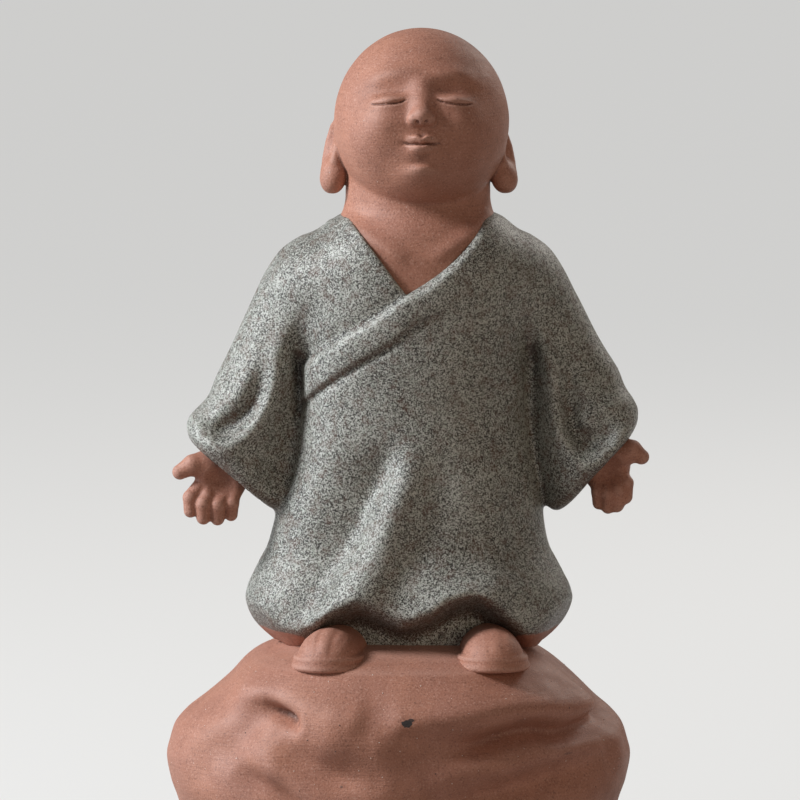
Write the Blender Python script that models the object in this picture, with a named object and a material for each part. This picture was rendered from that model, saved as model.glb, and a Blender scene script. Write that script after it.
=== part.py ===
# A clay tea pet: a child monk in a wrapped robe, arms held open, standing on a worn boulder.
# The clay pieces are shaped one by one and luted together with slip before firing. Each is an object
# here, seated in its neighbour with the thickness of the slip between the two.
# Sizes are in millimetres, and build_mesh() writes them as metres. +Z is up, the figure faces -Y,
# and its right side is at -X.

import math

import bmesh
import bpy
import numpy as np
from mathutils import Matrix, Vector

MM = 0.001
SLIP = 0.3  # layer of slip between two luted pieces

# Boulder
ROCK_HEIGHT = 37.4
ROCK_HALF_WIDTH = 39.6
ROCK_HALF_DEPTH = 31.5
ROCK_FOOT_INSET = 5.2  # how far the foot lies in from the widest section
ROCK_OFFSET_X = -1.6
ROCK_WALL = 4.6
ROCK_CEILING = 7.5
ROCK_RING_COUNT = 50

# Robe
ROBE_SEAT_DEPTH = 1.8  # its flat foot is sunk this far into the boulder's top
ROBE_HEIGHT = 74.0
HEM_RISE = 7.0  # hem above the foot
HEM_HALF_WIDTH = 28.0
HEM_HALF_DEPTH = 21.5
CHEST_HALF_WIDTH = 19.6
CHEST_HALF_DEPTH = 15.2
SHOULDER_SWELL = 1.2
COLLAR_HALF_WIDTH = 14.4
COLLAR_HALF_DEPTH = 12.0
FOOT_INSET = 7.2  # the underside tucks in this far from the hem to the foot
CENTRE_X = 1.1  # centre line of the chest and the arms
ROBE_RING_COUNT = 44

# Collar opening and lapel
OPENING_DEPTH = 13.4  # from the collar down to the point of the V
OPENING_RUN_RIGHT = 0.77  # run against rise of the opening's edge on the figure's right
OPENING_RUN_LEFT = 1.0
OPENING_BOW = 2.5  # how far the left edge bows out, half way up
CLOTH = 1.3  # how far the bare chest lies behind the robe's face
LAPEL_WIDTH = 4.8
LAPEL_THICKNESS = 1.5
LAPEL_STANDS_PROUD = 0.75

# Arms and sleeves
SHOULDER_OUT = 11.8  # shoulder joint from the centre line
SHOULDER_DROP = 10.1  # and below the collar
SHOULDER_BACK = 3.0
ARM_REACH_RIGHT = 19.4  # cuff's middle out from the shoulder joint
ARM_REACH_LEFT = 19.6
ARM_DROP_RIGHT = 34.1
ARM_DROP_LEFT = 32.6
ARM_FORWARD = 4.4
SLEEVE_ROOT_RADIUS = 9.3
CUFF_HALF_HEIGHT = 10.2
CUFF_HALF_DEPTH = 8.2
ELBOW_SLANT = 57  # of the sleeve's section from upright, in degrees
CUFF_SLANT_RIGHT = 50  # and of the cuff's opening
CUFF_SLANT_LEFT = 42
CUFF_WALL = 1.9
CUFF_RECESS = 4.0
SLEEVE_RING_COUNT = 26

# Hands
PALM_HALF_WIDTH = 4.4
PALM_HALF_LENGTH = 4.6
PALM_HALF_THICKNESS = 2.7
FINGER_RADIUS = 1.4
FINGER_LENGTH = 5.0
FINGER_ROW_HALF_RIGHT = 2.9  # from the middle of the row of fingers to its outer ones
FINGER_ROW_HALF_LEFT = 2.1
THUMB_RADIUS = 1.95
THUMB_LENGTH_RIGHT = 4.9
THUMB_LENGTH_LEFT = 4.1
WRIST_RADIUS = 3.4
WRIST_LENGTH = 5.2  # of the wrist past the cuff's middle, up into its socket

# Neck and head
NECK_HALF_WIDTH = 12.5
NECK_HALF_DEPTH = 10.6
NECK_X = 1.7
NECK_Y = 0.9
TENON_RADIUS = 4.5
TENON_LENGTH = 6.0  # of the tenon past the head's underside
HEAD_HALF_WIDTH = 14.9
HEAD_HALF_DEPTH = 15.4
HEAD_HALF_HEIGHT = 15.9
HEAD_RISE = 14.7  # head's middle above the collar
HEAD_X = 2.3
HEAD_TILT = math.radians(27)  # the face is lifted to the sky
HEAD_RING_COUNT = 36
FACE_RINGS = 17

# Ears
EAR_HALF_HEIGHT = 6.2
EAR_HALF_DEPTH = 3.2
EAR_HALF_THICKNESS = 2.3
EAR_STANDS_OUT = 2.6  # past the side of the head
EAR_DROP = 5.3  # ear's middle below the head's

# Shoes
SHOE_HALF_WIDTH = 5.5
SHOE_LENGTH = 18.0
UPPER_HEIGHT = 5.3
SOLE_THICKNESS = 1.9
SOLE_EDGE = 0.75  # how far the sole stands out past the shoe's own width
UPPER_INSET = 0.25
TOE_BEND = 1.05  # length of the round toe against half the shoe's width
CAP_ARC = math.radians(84)
CAP_SLOPE = 4.6  # how far back the top of the toe cap lies
SOLE_DROP = 4.2  # sole's underside below the boulder's top
TOE_FORWARD = 26.2  # toe in front of the boulder's middle
SHOE_RIGHT_X = -14.9
SHOE_LEFT_X = 14.9
TOE_OUT_RIGHT = math.radians(13)
TOE_OUT_LEFT = math.radians(5)

# Heights and places that follow from the sizes above
ROBE_FOOT_Z = ROCK_HEIGHT - ROBE_SEAT_DEPTH
HEM_Z = ROBE_FOOT_Z + HEM_RISE
COLLAR_Z = ROBE_FOOT_Z + ROBE_HEIGHT
OPENING_Z = COLLAR_Z - OPENING_DEPTH
HEAD_CENTRE = Vector((HEAD_X, 0, COLLAR_Z + HEAD_RISE))
HEAD_BOTTOM_Z = HEAD_CENTRE.z - HEAD_HALF_HEIGHT
SOLE_Z = ROCK_HEIGHT - SOLE_DROP


# Curves

def smooth_through(stations, value):
    """A smooth curve through (position, height) stations, with no overshoot between them."""
    xs, ys = (np.array(column, float) for column in zip(*stations))
    rise = np.diff(ys) / np.diff(xs)
    slope = np.zeros(len(xs))
    same_way = rise[:-1] * rise[1:] > 0
    both = np.where(same_way, rise[:-1] + rise[1:], 1)
    slope[1:-1] = np.where(same_way, 2 * rise[:-1] * rise[1:] / both, 0)
    slope[0], slope[-1] = rise[0], rise[-1]
    value = np.clip(np.asarray(value, float), xs[0], xs[-1])
    i = np.clip(np.searchsorted(xs, value, side="right") - 1, 0, len(xs) - 2)
    step = xs[i + 1] - xs[i]
    t = (value - xs[i]) / step
    return (
        (2 * t**3 - 3 * t**2 + 1) * ys[i]
        + (t**3 - 2 * t**2 + t) * step * slope[i]
        + (3 * t**2 - 2 * t**3) * ys[i + 1]
        + (t**3 - t**2) * step * slope[i + 1]
    )


def oval_radius(angle, half_x, half_y, squareness=2.2):
    """Distance from the middle of a rounded oval to its edge, along an angle."""
    across = np.abs(np.cos(angle) / half_x) ** squareness
    along = np.abs(np.sin(angle) / half_y) ** squareness
    return (across + along) ** (-1 / squareness)


def hump(value, centre, width):
    return np.exp(-(((value - centre) / width) ** 2))


def along_path(u, v, path, width):
    """1 on a path, fading to nearly 0 at twice the width from it."""
    nearest = np.full(np.shape(u + v), 1e9)
    for (au, av), (bu, bv) in zip(path[:-1], path[1:]):
        du, dv = bu - au, bv - av
        t = np.clip(((u - au) * du + (v - av) * dv) / (du * du + dv * dv), 0, 1)
        nearest = np.minimum(nearest, np.hypot(u - au - t * du, v - av - t * dv))
    return np.exp(-((nearest / width) ** 2))


def facing_front(angle):
    """1 on the front of a turned form, fading to 0 at its sides."""
    return np.clip(-np.sin(angle), 0, 1) ** 0.5


def ring_angles(points):
    return np.linspace(0, 2 * math.pi, points, endpoint=False)


# Meshes and the ways they are joined

def clear_scene():
    for obj in list(bpy.data.objects):
        bpy.data.objects.remove(obj)


def build_mesh(name, bm, sharp_angle=42):
    """Finishes a bmesh in millimetres as an object in metres, shaded smooth, with its faces pointing out."""
    bmesh.ops.recalc_face_normals(bm, faces=bm.faces)
    bmesh.ops.scale(bm, vec=(MM, MM, MM), verts=bm.verts)
    mesh = bpy.data.meshes.new(name)
    bm.to_mesh(mesh)
    bm.free()
    mesh.shade_smooth()
    mesh.set_sharp_from_angle(angle=math.radians(sharp_angle))
    obj = bpy.data.objects.new(name, mesh)
    bpy.context.scene.collection.objects.link(obj)
    return obj


def bridge_rings(bm, rings):
    """Joins closed rings of equally many points, and closes both ends with one face each."""
    made = [[bm.verts.new(point) for point in ring] for ring in rings]
    count = len(made[0])
    for low, high in zip(made[:-1], made[1:]):
        for i in range(count):
            j = (i + 1) % count
            bm.faces.new((low[i], low[j], high[j], high[i]))
    bm.faces.new(list(reversed(made[0])))
    bm.faces.new(made[-1])


def loft(name, rings):
    bm = bmesh.new()
    bridge_rings(bm, rings)
    return build_mesh(name, bm)


def as_helper(obj):
    obj.hide_render = True
    obj.display_type = "WIRE"
    return obj


def grown_copy(obj):
    """A helper one slip layer larger than the plain form of obj, to cut the seat that obj lies in."""
    copy = bpy.data.objects.new(obj.name + "_seat", obj.data)
    bpy.context.scene.collection.objects.link(copy)
    swell = copy.modifiers.new("slip", "DISPLACE")
    swell.mid_level = 0
    swell.strength = SLIP * MM
    return as_helper(copy)


def boolean(obj, operation, *others):
    for other in others:
        step = obj.modifiers.new(f"{operation.lower()} {other.name}", "BOOLEAN")
        step.operation = operation
        step.object = other


def cut(obj, *cutters):
    boolean(obj, "DIFFERENCE", *cutters)


def make_material(name, colour, roughness):
    material = bpy.data.materials.new(name)
    material.use_nodes = True
    shader = material.node_tree.nodes["Principled BSDF"]
    shader.inputs["Base Color"].default_value = (*colour, 1)
    shader.inputs["Roughness"].default_value = roughness
    shader.inputs["Metallic"].default_value = 0
    return material


# Boulder

# Weathered ridges (+) and grooves (-): how far out in mm, how wide in mm, and the way each runs, as
# bearings in degrees round from the front and shares of the boulder's height.
ROCK_RELIEF = (
    (1.9, 3.2, [(4, 0.71), (20, 0.735), (38, 0.755), (58, 0.755), (84, 0.75)]),
    (-2.8, 2.2, [(104, 0.62), (78, 0.655), (60, 0.65), (45, 0.63), (30, 0.595), (22, 0.575)]),
    (1.1, 3.6, [(70, 0.55), (45, 0.52), (20, 0.45), (6, 0.36)]),
    (-2.7, 3.0, [(62, 0.46), (39, 0.385), (19, 0.33)]),
    (1.7, 4.0, [(1, 0.69), (-3, 0.55), (-9, 0.33), (-12, 0.18)]),
    (1.3, 2.8, [(-54, 0.80), (-42, 0.79), (-28, 0.755), (-14, 0.72)]),
    (-2.6, 1.6, [(-44, 0.735), (-34.5, 0.695)]),
    (-1.5, 3.0, [(-36, 0.68), (-28, 0.58), (-19, 0.54), (-9, 0.50)]),
    (-1.6, 3.2, [(-45, 0.70), (-52, 0.59), (-62, 0.46)]),
    (-2.2, 2.5, [(-49, 0.43), (-40, 0.36), (-32, 0.28), (-26, 0.18)]),
    (1.0, 4.0, [(-36, 0.46), (-24, 0.36), (-18, 0.24)]),
    (-2.2, 2.6, [(122, 0.74), (155, 0.53), (176, 0.28)]),
    (-2.0, 2.8, [(-118, 0.70), (-148, 0.42), (-146, 0.19)]),
    (1.4, 3.4, [(-172, 0.66), (-160, 0.40)]),
)


def rock_shares(z):
    """Half width and half depth at a height, as shares of the widest section above the inset foot."""
    share = z / ROCK_HEIGHT
    wide = smooth_through(
        [(0, 0), (0.12, 0.38), (0.25, 0.68), (0.33, 0.88), (0.44, 1.0), (0.50, 0.90), (0.57, 0.74),
         (0.63, 0.40), (0.69, -0.12), (0.76, -0.64), (0.82, -1.12), (0.89, -1.8), (0.925, -2.3),
         (0.965, -3.1), (1, -4.6)], share)
    deep = smooth_through(
        [(0, 0), (0.12, 0.50), (0.30, 0.92), (0.5, 1.0), (0.66, 0.94), (0.75, 0.78), (0.82, 0.50),
         (0.885, 0.08), (0.925, -0.56), (0.965, -1.5), (1, -2.9)], share)
    return wide, deep


def rock_radius(angle, z, inset=0.0, relief=1.0):
    wide, deep = rock_shares(z)
    half_x = ROCK_HALF_WIDTH - ROCK_FOOT_INSET * (1 - wide) - inset
    half_y = ROCK_HALF_DEPTH - ROCK_FOOT_INSET * (1 - deep) - inset
    share = z / ROCK_HEIGHT
    radius = oval_radius(angle, half_x, half_y, 2.2 + 0.5 * hump(share, 0.9, 0.12))
    bearing = (np.degrees(angle) + 90 + 180) % 360 - 180
    around = math.radians(1) * (ROCK_HALF_WIDTH + ROCK_HALF_DEPTH) / 2
    fade = smooth_through([(0, 0), (0.08, 1), (0.80, 1), (0.94, 0), (1, 0)], share)
    for out, width, path in ROCK_RELIEF:
        for turn in (0, 360, -360):
            placed = [((b + turn) * around, s * ROCK_HEIGHT) for b, s in path]
            radius = radius + relief * fade * out * along_path(bearing * around, z, placed, width)
    return radius


def rock_ring(z, points, inset=0.0, relief=1.0):
    angle = ring_angles(points)
    radius = rock_radius(angle, z, inset, relief)
    return [(ROCK_OFFSET_X + r * math.cos(a), r * math.sin(a), z) for r, a in zip(radius, angle)]


def rock_base():
    """A hollow boulder, open underneath, with a flat foot ring to stand on and a domed ceiling inside."""
    ceiling = ROCK_HEIGHT - ROCK_CEILING
    rings = []
    for share, dome in ((1, 1.3), (0.91, 0.62), (0.78, 0.28), (0.6, 0.06), (0.4, 0), (0.2, 0), (0, 0)):
        rings.append(rock_ring(share * ceiling, ROCK_RING_COUNT, ROCK_WALL * (1 + dome), 0.6))
    for share in (0, 0.03, 0.10, 0.18, 0.26, 0.34, 0.42, 0.49, 0.545, 0.595, 0.645, 0.69, 0.735, 0.78,
                  0.83, 0.88, 0.925, 0.965, 1.0):
        rings.append(rock_ring(share * ROCK_HEIGHT, ROCK_RING_COUNT))
    return loft("rock_base", rings)


# Robe

def robe_share(z):
    return (z - ROBE_FOOT_Z) / ROBE_HEIGHT


def robe_centre_x(z):
    return smooth_through([(0, 0.0), (0.2, 0.25 * CENTRE_X), (0.4, CENTRE_X), (0.8, CENTRE_X), (1, NECK_X)],
                          robe_share(z))


def robe_half_sizes(z):
    """Half width and half depth of the robe at a height: flared at the hem, drawn in at the collar."""
    share = robe_share(z)
    hem = HEM_RISE / ROBE_HEIGHT
    flare = smooth_through(
        [(0, 1), (hem, 1), (hem + 0.033, 0.94), (hem + 0.065, 0.80), (hem + 0.098, 0.64), (hem + 0.13, 0.49),
         (hem + 0.195, 0.345), (hem + 0.26, 0.27), (hem + 0.325, 0.14), (hem + 0.39, 0.05),
         (hem + 0.46, 0), (1, 0)], share)
    swell = smooth_through([(0, 0), (0.66, 0), (0.76, 0.5), (0.84, 1), (0.90, 1), (1, 0)], share)
    collar = smooth_through([(0, 0), (0.80, 0), (0.86, 0.08), (0.92, 0.34), (0.96, 0.66), (1, 1)], share)
    half_x = CHEST_HALF_WIDTH + (HEM_HALF_WIDTH - CHEST_HALF_WIDTH) * flare + SHOULDER_SWELL * swell
    half_y = CHEST_HALF_DEPTH + (HEM_HALF_DEPTH - CHEST_HALF_DEPTH) * flare
    return half_x + (COLLAR_HALF_WIDTH - half_x) * collar, half_y + (COLLAR_HALF_DEPTH - half_y) * collar


def hem_height(angle):
    """The hem's height: it lifts in an arch over each shoe, and dips beside and between them."""
    x = oval_radius(angle, HEM_HALF_WIDTH, HEM_HALF_DEPTH) * np.cos(angle)
    between = (SHOE_RIGHT_X + SHOE_LEFT_X) / 2 - 0.7
    arches = 1.6 * hump(x, SHOE_RIGHT_X + 6.6, 4.6) + 2.9 * hump(x, SHOE_LEFT_X - 3.9, 5.4)
    dips = 2.8 * hump(x, SHOE_RIGHT_X - 3.7, 4.2) + 2.6 * hump(x, SHOE_LEFT_X + 4.5, 4.2)
    return HEM_Z + facing_front(angle) ** 2 * (arches - dips - 2.0 * hump(x, between, 3.2))


def robe_folds(x, z, angle):
    """The drape of the cloth, as millimetres out from the plain robe."""
    low = np.clip(1 - (z - HEM_Z) / (0.32 * ROBE_HEIGHT), 0, 1) ** 1.3
    over_feet = 1.9 * hump(x, SHOE_RIGHT_X + 7.1, 4.4) + 2.1 * hump(x, SHOE_LEFT_X - 3.3, 4.8)
    beside = 1.2 * hump(x, SHOE_RIGHT_X - 2.5, 3.4) + 1.1 * hump(x, SHOE_LEFT_X + 5.0, 3.4)
    between = 1.4 * hump(x, (SHOE_RIGHT_X + SHOE_LEFT_X) / 2 - 1.4, 3.2)
    front = facing_front(angle) * low * (over_feet - between - beside)
    back = np.clip(np.sin(angle), 0, 1) ** 0.5 * low * (0.9 * np.cos(0.62 * x) - 0.3)
    return front + back


def robe_radius(angle, z, folds=1.0, inset=0.0):
    half_x, half_y = robe_half_sizes(z)
    radius = oval_radius(angle, half_x - inset, half_y - inset)
    return radius + folds * robe_folds(robe_centre_x(z) + radius * np.cos(angle), z, angle)


def robe_ring(rise, folds=1.0, inset=0.0):
    """A ring round the robe. rise is 0 at the hem and 1 at the collar, and -1 at the foot."""
    angle = ring_angles(ROBE_RING_COUNT)
    hem = hem_height(angle)
    z = hem + np.where(rise >= 0, COLLAR_Z - hem, hem - ROBE_FOOT_Z) * rise
    radius = robe_radius(angle, z, folds, inset)
    return [(c + r * math.cos(a), r * math.sin(a), h)
            for r, a, h, c in zip(radius, angle, z, robe_centre_x(z))]


def robe_body():
    """The robe's body in one piece, from the collar to the tucked-in hem and the flat foot."""
    rings = []
    for rise, tuck, folds in ((-1, 1, 0), (-0.7, 0.78, 0.3), (-0.38, 0.44, 0.7), (-0.12, 0.17, 0.95)):
        rings.append(robe_ring(rise, folds, inset=tuck * FOOT_INSET))
    rises = [0, 0.018, 0.045, 0.08, 0.115, 0.15, 0.19, 0.235, 0.285, 0.34, 0.40, 0.46, 0.52, 0.58,
             0.64, 0.69, 0.74, 0.785, 0.825, 0.865, 0.90, 0.935, 0.97, 1]
    for rise in rises:
        rings.append(robe_ring(rise, inset=0.45 if rise == 0 else 0))
    return loft("robe_body", rings)


def opening_left_edge(low_x):
    """The opening's left edge in front view, from the top down: bowed as far as the collar, then straight."""
    top = OPENING_DEPTH + HEAD_RISE
    edge = [(low_x + OPENING_RUN_LEFT * top, OPENING_Z + top)]
    for share in (1, 0.8, 0.6, 0.4, 0.2):
        rise = share * OPENING_DEPTH
        bow = 4 * OPENING_BOW * share * (1 - share)
        edge.append((low_x + OPENING_RUN_LEFT * rise + bow, OPENING_Z + rise))
    return edge


def opening_wedge(name, shrink, back):
    """The space of the V-shaped collar opening, from in front of the robe to the middle of the neck."""
    rise = OPENING_DEPTH + HEAD_RISE
    low = (CENTRE_X - 1.4, OPENING_Z + 1.3 * shrink)
    right = (low[0] - OPENING_RUN_RIGHT * rise, OPENING_Z + rise)
    corners = [low, right] + [(x - shrink, z) for x, z in opening_left_edge(low[0])]
    front = -2 * CHEST_HALF_DEPTH
    rings = [[(x, y, z) for x, z in corners] for y in (front, back)]
    return as_helper(loft(name, rings))


def lapel_path():
    """The lapel's middle, as (angle in degrees, height against the opening's point)."""
    return [(-172, -16.0), (-154, -13.3), (-132.8, -9.4), (-113, -5.7), (-91.6, -2.1), (-72, 0.9), (-56, 4.2),
            (-41, 8.2)]


def lapel_band():
    """The crossing lapel, a flat strip laid round the chest from the neck to under the right arm."""
    path = lapel_path()
    rings = []
    for degrees in np.linspace(path[0][0], path[-1][0], 24):
        middle = OPENING_Z + float(smooth_through(path, degrees))
        rise = float(smooth_through(path, degrees + 1) - smooth_through(path, degrees - 1)) / 2
        run = math.radians(1) * CHEST_HALF_DEPTH * 1.1
        half = LAPEL_WIDTH / 2 * math.hypot(1, rise / run)
        proud = LAPEL_STANDS_PROUD * float(smooth_through([(-172, 1), (-100, 1), (-41, 0.45)], degrees))
        angle = np.array(math.radians(degrees))
        ring = []
        for up, out in ((-1, -1), (1, -1), (1, 0.1), (0.85, 0.75), (0.5, 1.0), (-0.5, 1.0), (-0.85, 0.75),
                        (-1, 0.1)):
            z = middle + up * half
            lift = proud - LAPEL_THICKNESS if out < 0 else proud * out
            radius = robe_radius(angle, z, folds=0.0) + lift
            centre = robe_centre_x(z)
            ring.append((centre + radius * math.cos(angle), radius * math.sin(angle), z))
        rings.append(ring)
    return loft("lapel_band", rings)


# Arms and sleeves

def arm_points(side):
    """Shoulder, elbow and cuff middles, as (out from the centre line, y, z). side is -1 on the right."""
    shoulder = np.array([SHOULDER_OUT, SHOULDER_BACK, COLLAR_Z - SHOULDER_DROP])
    reach = ARM_REACH_RIGHT if side < 0 else ARM_REACH_LEFT
    drop = ARM_DROP_RIGHT if side < 0 else ARM_DROP_LEFT
    elbow = shoulder + np.array([0.36 * reach, -0.15 * ARM_FORWARD, -0.28 * drop])
    cuff = shoulder + np.array([reach, -ARM_FORWARD, -drop])
    return shoulder, elbow, cuff


def arm_at(side, t):
    shoulder, elbow, cuff = arm_points(side)
    return (1 - t) ** 2 * shoulder + 2 * t * (1 - t) * elbow + t * t * cuff


def sleeve_folds(along, across, angle):
    """The hooked drape fold on the front of the sleeve, in mm down the arm and across it."""
    dent = -2.1 * along_path(along, across, [(22, 4.4), (26, 3.8), (30, 3.6), (33, 4.8)], 1.8)
    hook = [(14, 2.4), (20, 1.8), (26, 0.8), (31, 0.6), (35, 3.0), (37, 6.6)]
    roll = 1.2 * along_path(along, across, hook, 1.9)
    inner = -1.3 * along_path(along, across, [(18, -2.8), (28, -3.6), (35, -4.4)], 2.4)
    return facing_front(angle) * (dent + roll + inner)


def sleeve_ring(side, t, shrink=0.0, deeper=0.0, folds=1.0):
    """A section of the sleeve. shrink draws it in for the cuff's inside, and deeper moves it up the arm."""
    cuff_slant = CUFF_SLANT_RIGHT if side < 0 else CUFF_SLANT_LEFT
    slant = math.radians(float(smooth_through(
        [(0, 40), (0.25, 50), (0.5, ELBOW_SLANT), (0.75, 0.6 * ELBOW_SLANT + 0.4 * cuff_slant),
         (1, cuff_slant)], t)))
    root = SLEEVE_ROOT_RADIUS
    half_height = float(smooth_through(
        [(0, 0.52 * root), (0.09, 0.82 * root), (0.22, root), (0.45, 1.02 * root),
         (0.7, (root + CUFF_HALF_HEIGHT) / 2), (0.94, CUFF_HALF_HEIGHT), (1, CUFF_HALF_HEIGHT - 0.6)], t))
    half_depth = float(smooth_through(
        [(0, 0.48 * root), (0.09, 0.76 * root), (0.22, 0.9 * root), (0.6, CUFF_HALF_DEPTH),
         (0.94, CUFF_HALF_DEPTH), (1, CUFF_HALF_DEPTH - 0.6)], t))
    middle = arm_at(side, t) + deeper * np.array([-math.cos(slant), 0.12, math.sin(slant)])
    length = float(np.linalg.norm(arm_points(side)[2] - arm_points(side)[0]))
    angle = ring_angles(SLEEVE_RING_COUNT)
    radius = oval_radius(angle, half_height - shrink, half_depth - shrink, 2.1)
    radius = radius + folds * sleeve_folds(np.full(len(angle), t * length), radius * np.cos(angle), angle)
    across = radius * np.cos(angle)
    return [(CENTRE_X + side * (middle[0] + a * math.sin(slant)), middle[1] + r * math.sin(w),
             middle[2] + a * math.cos(slant)) for a, r, w in zip(across, radius, angle)]


def sleeve(name, side):
    """A wide sleeve that hangs from the shoulder, with a recessed cuff."""
    stations = [0, 0.09, 0.2, 0.31, 0.41, 0.51, 0.6, 0.68, 0.76, 0.83, 0.89, 0.94, 0.98, 1]
    rings = [sleeve_ring(side, t) for t in stations]
    rings.append(sleeve_ring(side, 1, shrink=CUFF_WALL, deeper=0.2, folds=0))
    rings.append(sleeve_ring(side, 1, shrink=1.2 * CUFF_WALL, deeper=0.65 * CUFF_RECESS, folds=0))
    rings.append(sleeve_ring(side, 1, shrink=1.8 * CUFF_WALL, deeper=CUFF_RECESS, folds=0))
    return loft(name, rings)


# Hands

def capsule(bm, start, end, start_radius, end_radius, sides=12, cap_rings=4):
    """A round-ended limb from one point to another."""
    start, end = Vector(start), Vector(end)
    turn = (end - start).to_track_quat("Z", "Y").to_matrix()
    length = (end - start).length
    quarter = [math.pi / 2 * (i + 0.15) / (cap_rings + 0.15) for i in range(cap_rings + 1)]
    profile = [(-start_radius * math.cos(a), start_radius * math.sin(a)) for a in quarter]
    profile += [(length + end_radius * math.cos(a), end_radius * math.sin(a)) for a in reversed(quarter)]
    rings = []
    for height, radius in profile:
        rings.append([start + turn @ Vector((radius * math.cos(t), radius * math.sin(t), height))
                      for t in ring_angles(sides)])
    bridge_rings(bm, rings)


def hand_points():
    """Wrist's end, palm, knuckles and root of the thumb, from the cuff's middle as (out, y, z)."""
    wrist_end = Vector((-0.35, 0.15, 0.9)) * WRIST_LENGTH
    palm = Vector((1.4, -2.7, -0.8))
    knuckles = palm + Vector((1.2, -1.0, -0.3 * PALM_HALF_LENGTH))
    thumb_root = palm + Vector((0.5 * PALM_HALF_WIDTH, -0.6, 0.5 * PALM_HALF_LENGTH))
    return wrist_end, palm, knuckles, thumb_root


def place_hand(bm, side):
    cuff = arm_points(side)[2]
    for vert in bm.verts:
        vert.co = Vector((CENTRE_X + side * (cuff[0] + vert.co.x), cuff[1] + vert.co.y, cuff[2] + vert.co.z))


def hand(name, side):
    """An open hand, palm forward and fingers down, in one lump of clay with its wrist."""
    wrist_end, palm, knuckles, thumb_root = hand_points()
    row_half = FINGER_ROW_HALF_RIGHT if side < 0 else FINGER_ROW_HALF_LEFT
    thumb_length = THUMB_LENGTH_RIGHT if side < 0 else THUMB_LENGTH_LEFT
    bm = bmesh.new()
    capsule(bm, wrist_end, palm, WRIST_RADIUS, PALM_HALF_THICKNESS)
    made = bmesh.ops.create_uvsphere(bm, u_segments=16, v_segments=10, radius=1)["verts"]
    for vert in made:
        x, y, z = vert.co
        vert.co = palm + Vector((x * PALM_HALF_WIDTH, y * PALM_HALF_THICKNESS, z * PALM_HALF_LENGTH))
    for i, reach in enumerate((0.86, 1.0, 1.04, 0.84)):
        across = (1.5 - i) / 1.5
        base = knuckles + Vector((across * row_half, 0.3 * across * across, 0))
        tip = base + Vector((0.25 * row_half * across, -1.2, -FINGER_LENGTH * reach - 0.4))
        capsule(bm, base, tip, FINGER_RADIUS, 0.88 * FINGER_RADIUS)
    thumb_tip = thumb_root + Vector((thumb_length, -0.8, -0.4))
    capsule(bm, thumb_root, thumb_tip, THUMB_RADIUS, 0.75 * THUMB_RADIUS)
    place_hand(bm, side)
    obj = build_mesh(name, bm)
    fuse = obj.modifiers.new("fuse", "REMESH")
    fuse.mode = "VOXEL"
    fuse.voxel_size = FINGER_RADIUS / 3 * MM
    fuse.use_smooth_shade = True
    soften = obj.modifiers.new("soften", "SMOOTH")
    soften.factor = 0.5
    soften.iterations = 3
    thin = obj.modifiers.new("thin out", "DECIMATE")
    thin.ratio = 0.15
    return obj


def wrist_socket(name, side):
    """The bore in the sleeve that the wrist is luted into."""
    wrist_end, palm, _, _ = hand_points()
    bm = bmesh.new()
    capsule(bm, wrist_end, palm, WRIST_RADIUS + SLIP, PALM_HALF_THICKNESS + SLIP, sides=16)
    place_hand(bm, side)
    return as_helper(build_mesh(name, bm))


# Neck and head

def oval_ring(x, y, z, half_x, half_y, points=28):
    return [(x + half_x * math.cos(a), y + half_y * math.sin(a), z) for a in ring_angles(points)]


def neck_column(name, grow=0.0):
    """The neck's column, which stands in the collar and carries the head."""
    low = OPENING_Z + 3.0 - grow
    top = HEAD_BOTTOM_Z + 7.0
    rings = []
    for share, spread in ((0, 1.0), (0.5, 1.0), (0.68, 1.0), (0.85, 0.975), (1, 0.95)):
        z = low + (top - low) * share
        rings.append(oval_ring(NECK_X, NECK_Y, z, NECK_HALF_WIDTH * spread + grow,
                               NECK_HALF_DEPTH * spread + grow))
    return loft(name, rings)


def bare_chest():
    """The chest behind the collar opening, which runs smoothly up into the neck."""
    points = 40
    angle = ring_angles(points)
    low, high = OPENING_Z - 3.0, COLLAR_Z + 2.6
    neck = oval_radius(angle, 0.985 * NECK_HALF_WIDTH, 0.985 * NECK_HALF_DEPTH, 2.0)
    rings = []
    for share in np.linspace(0, 1, 9):
        z = np.full(points, low + (high - low) * share)
        under_robe = robe_radius(angle, np.minimum(z, COLLAR_Z), folds=0.0, inset=CLOTH)
        blend = float(smooth_through([(0, 0), (0.3, 0.04), (0.6, 0.35), (0.85, 0.85), (1, 1)], share))
        radius = under_robe + (neck - under_robe) * blend
        centre = robe_centre_x(z) + (NECK_X - robe_centre_x(z)) * blend
        rings.append([(c + r * math.cos(a), NECK_Y * blend + r * math.sin(a), h)
                      for c, r, a, h in zip(centre, radius, angle, z)])
    chest = as_helper(loft("bare_chest", rings))
    wedge = opening_wedge("opening_less_slip", SLIP, NECK_Y - SLIP)
    boolean(chest, "INTERSECT", wedge)
    return chest


def neck_chest():
    """The neck and the bare chest in one piece, with the tenon that the head is set on."""
    neck = neck_column("neck_chest")
    boolean(neck, "UNION", bare_chest())
    return neck


def upright_peg(name, radius, low, high):
    rings = [oval_ring(NECK_X, NECK_Y, z, radius, radius, 24) for z in (low, high)]
    return as_helper(loft(name, rings))


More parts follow.
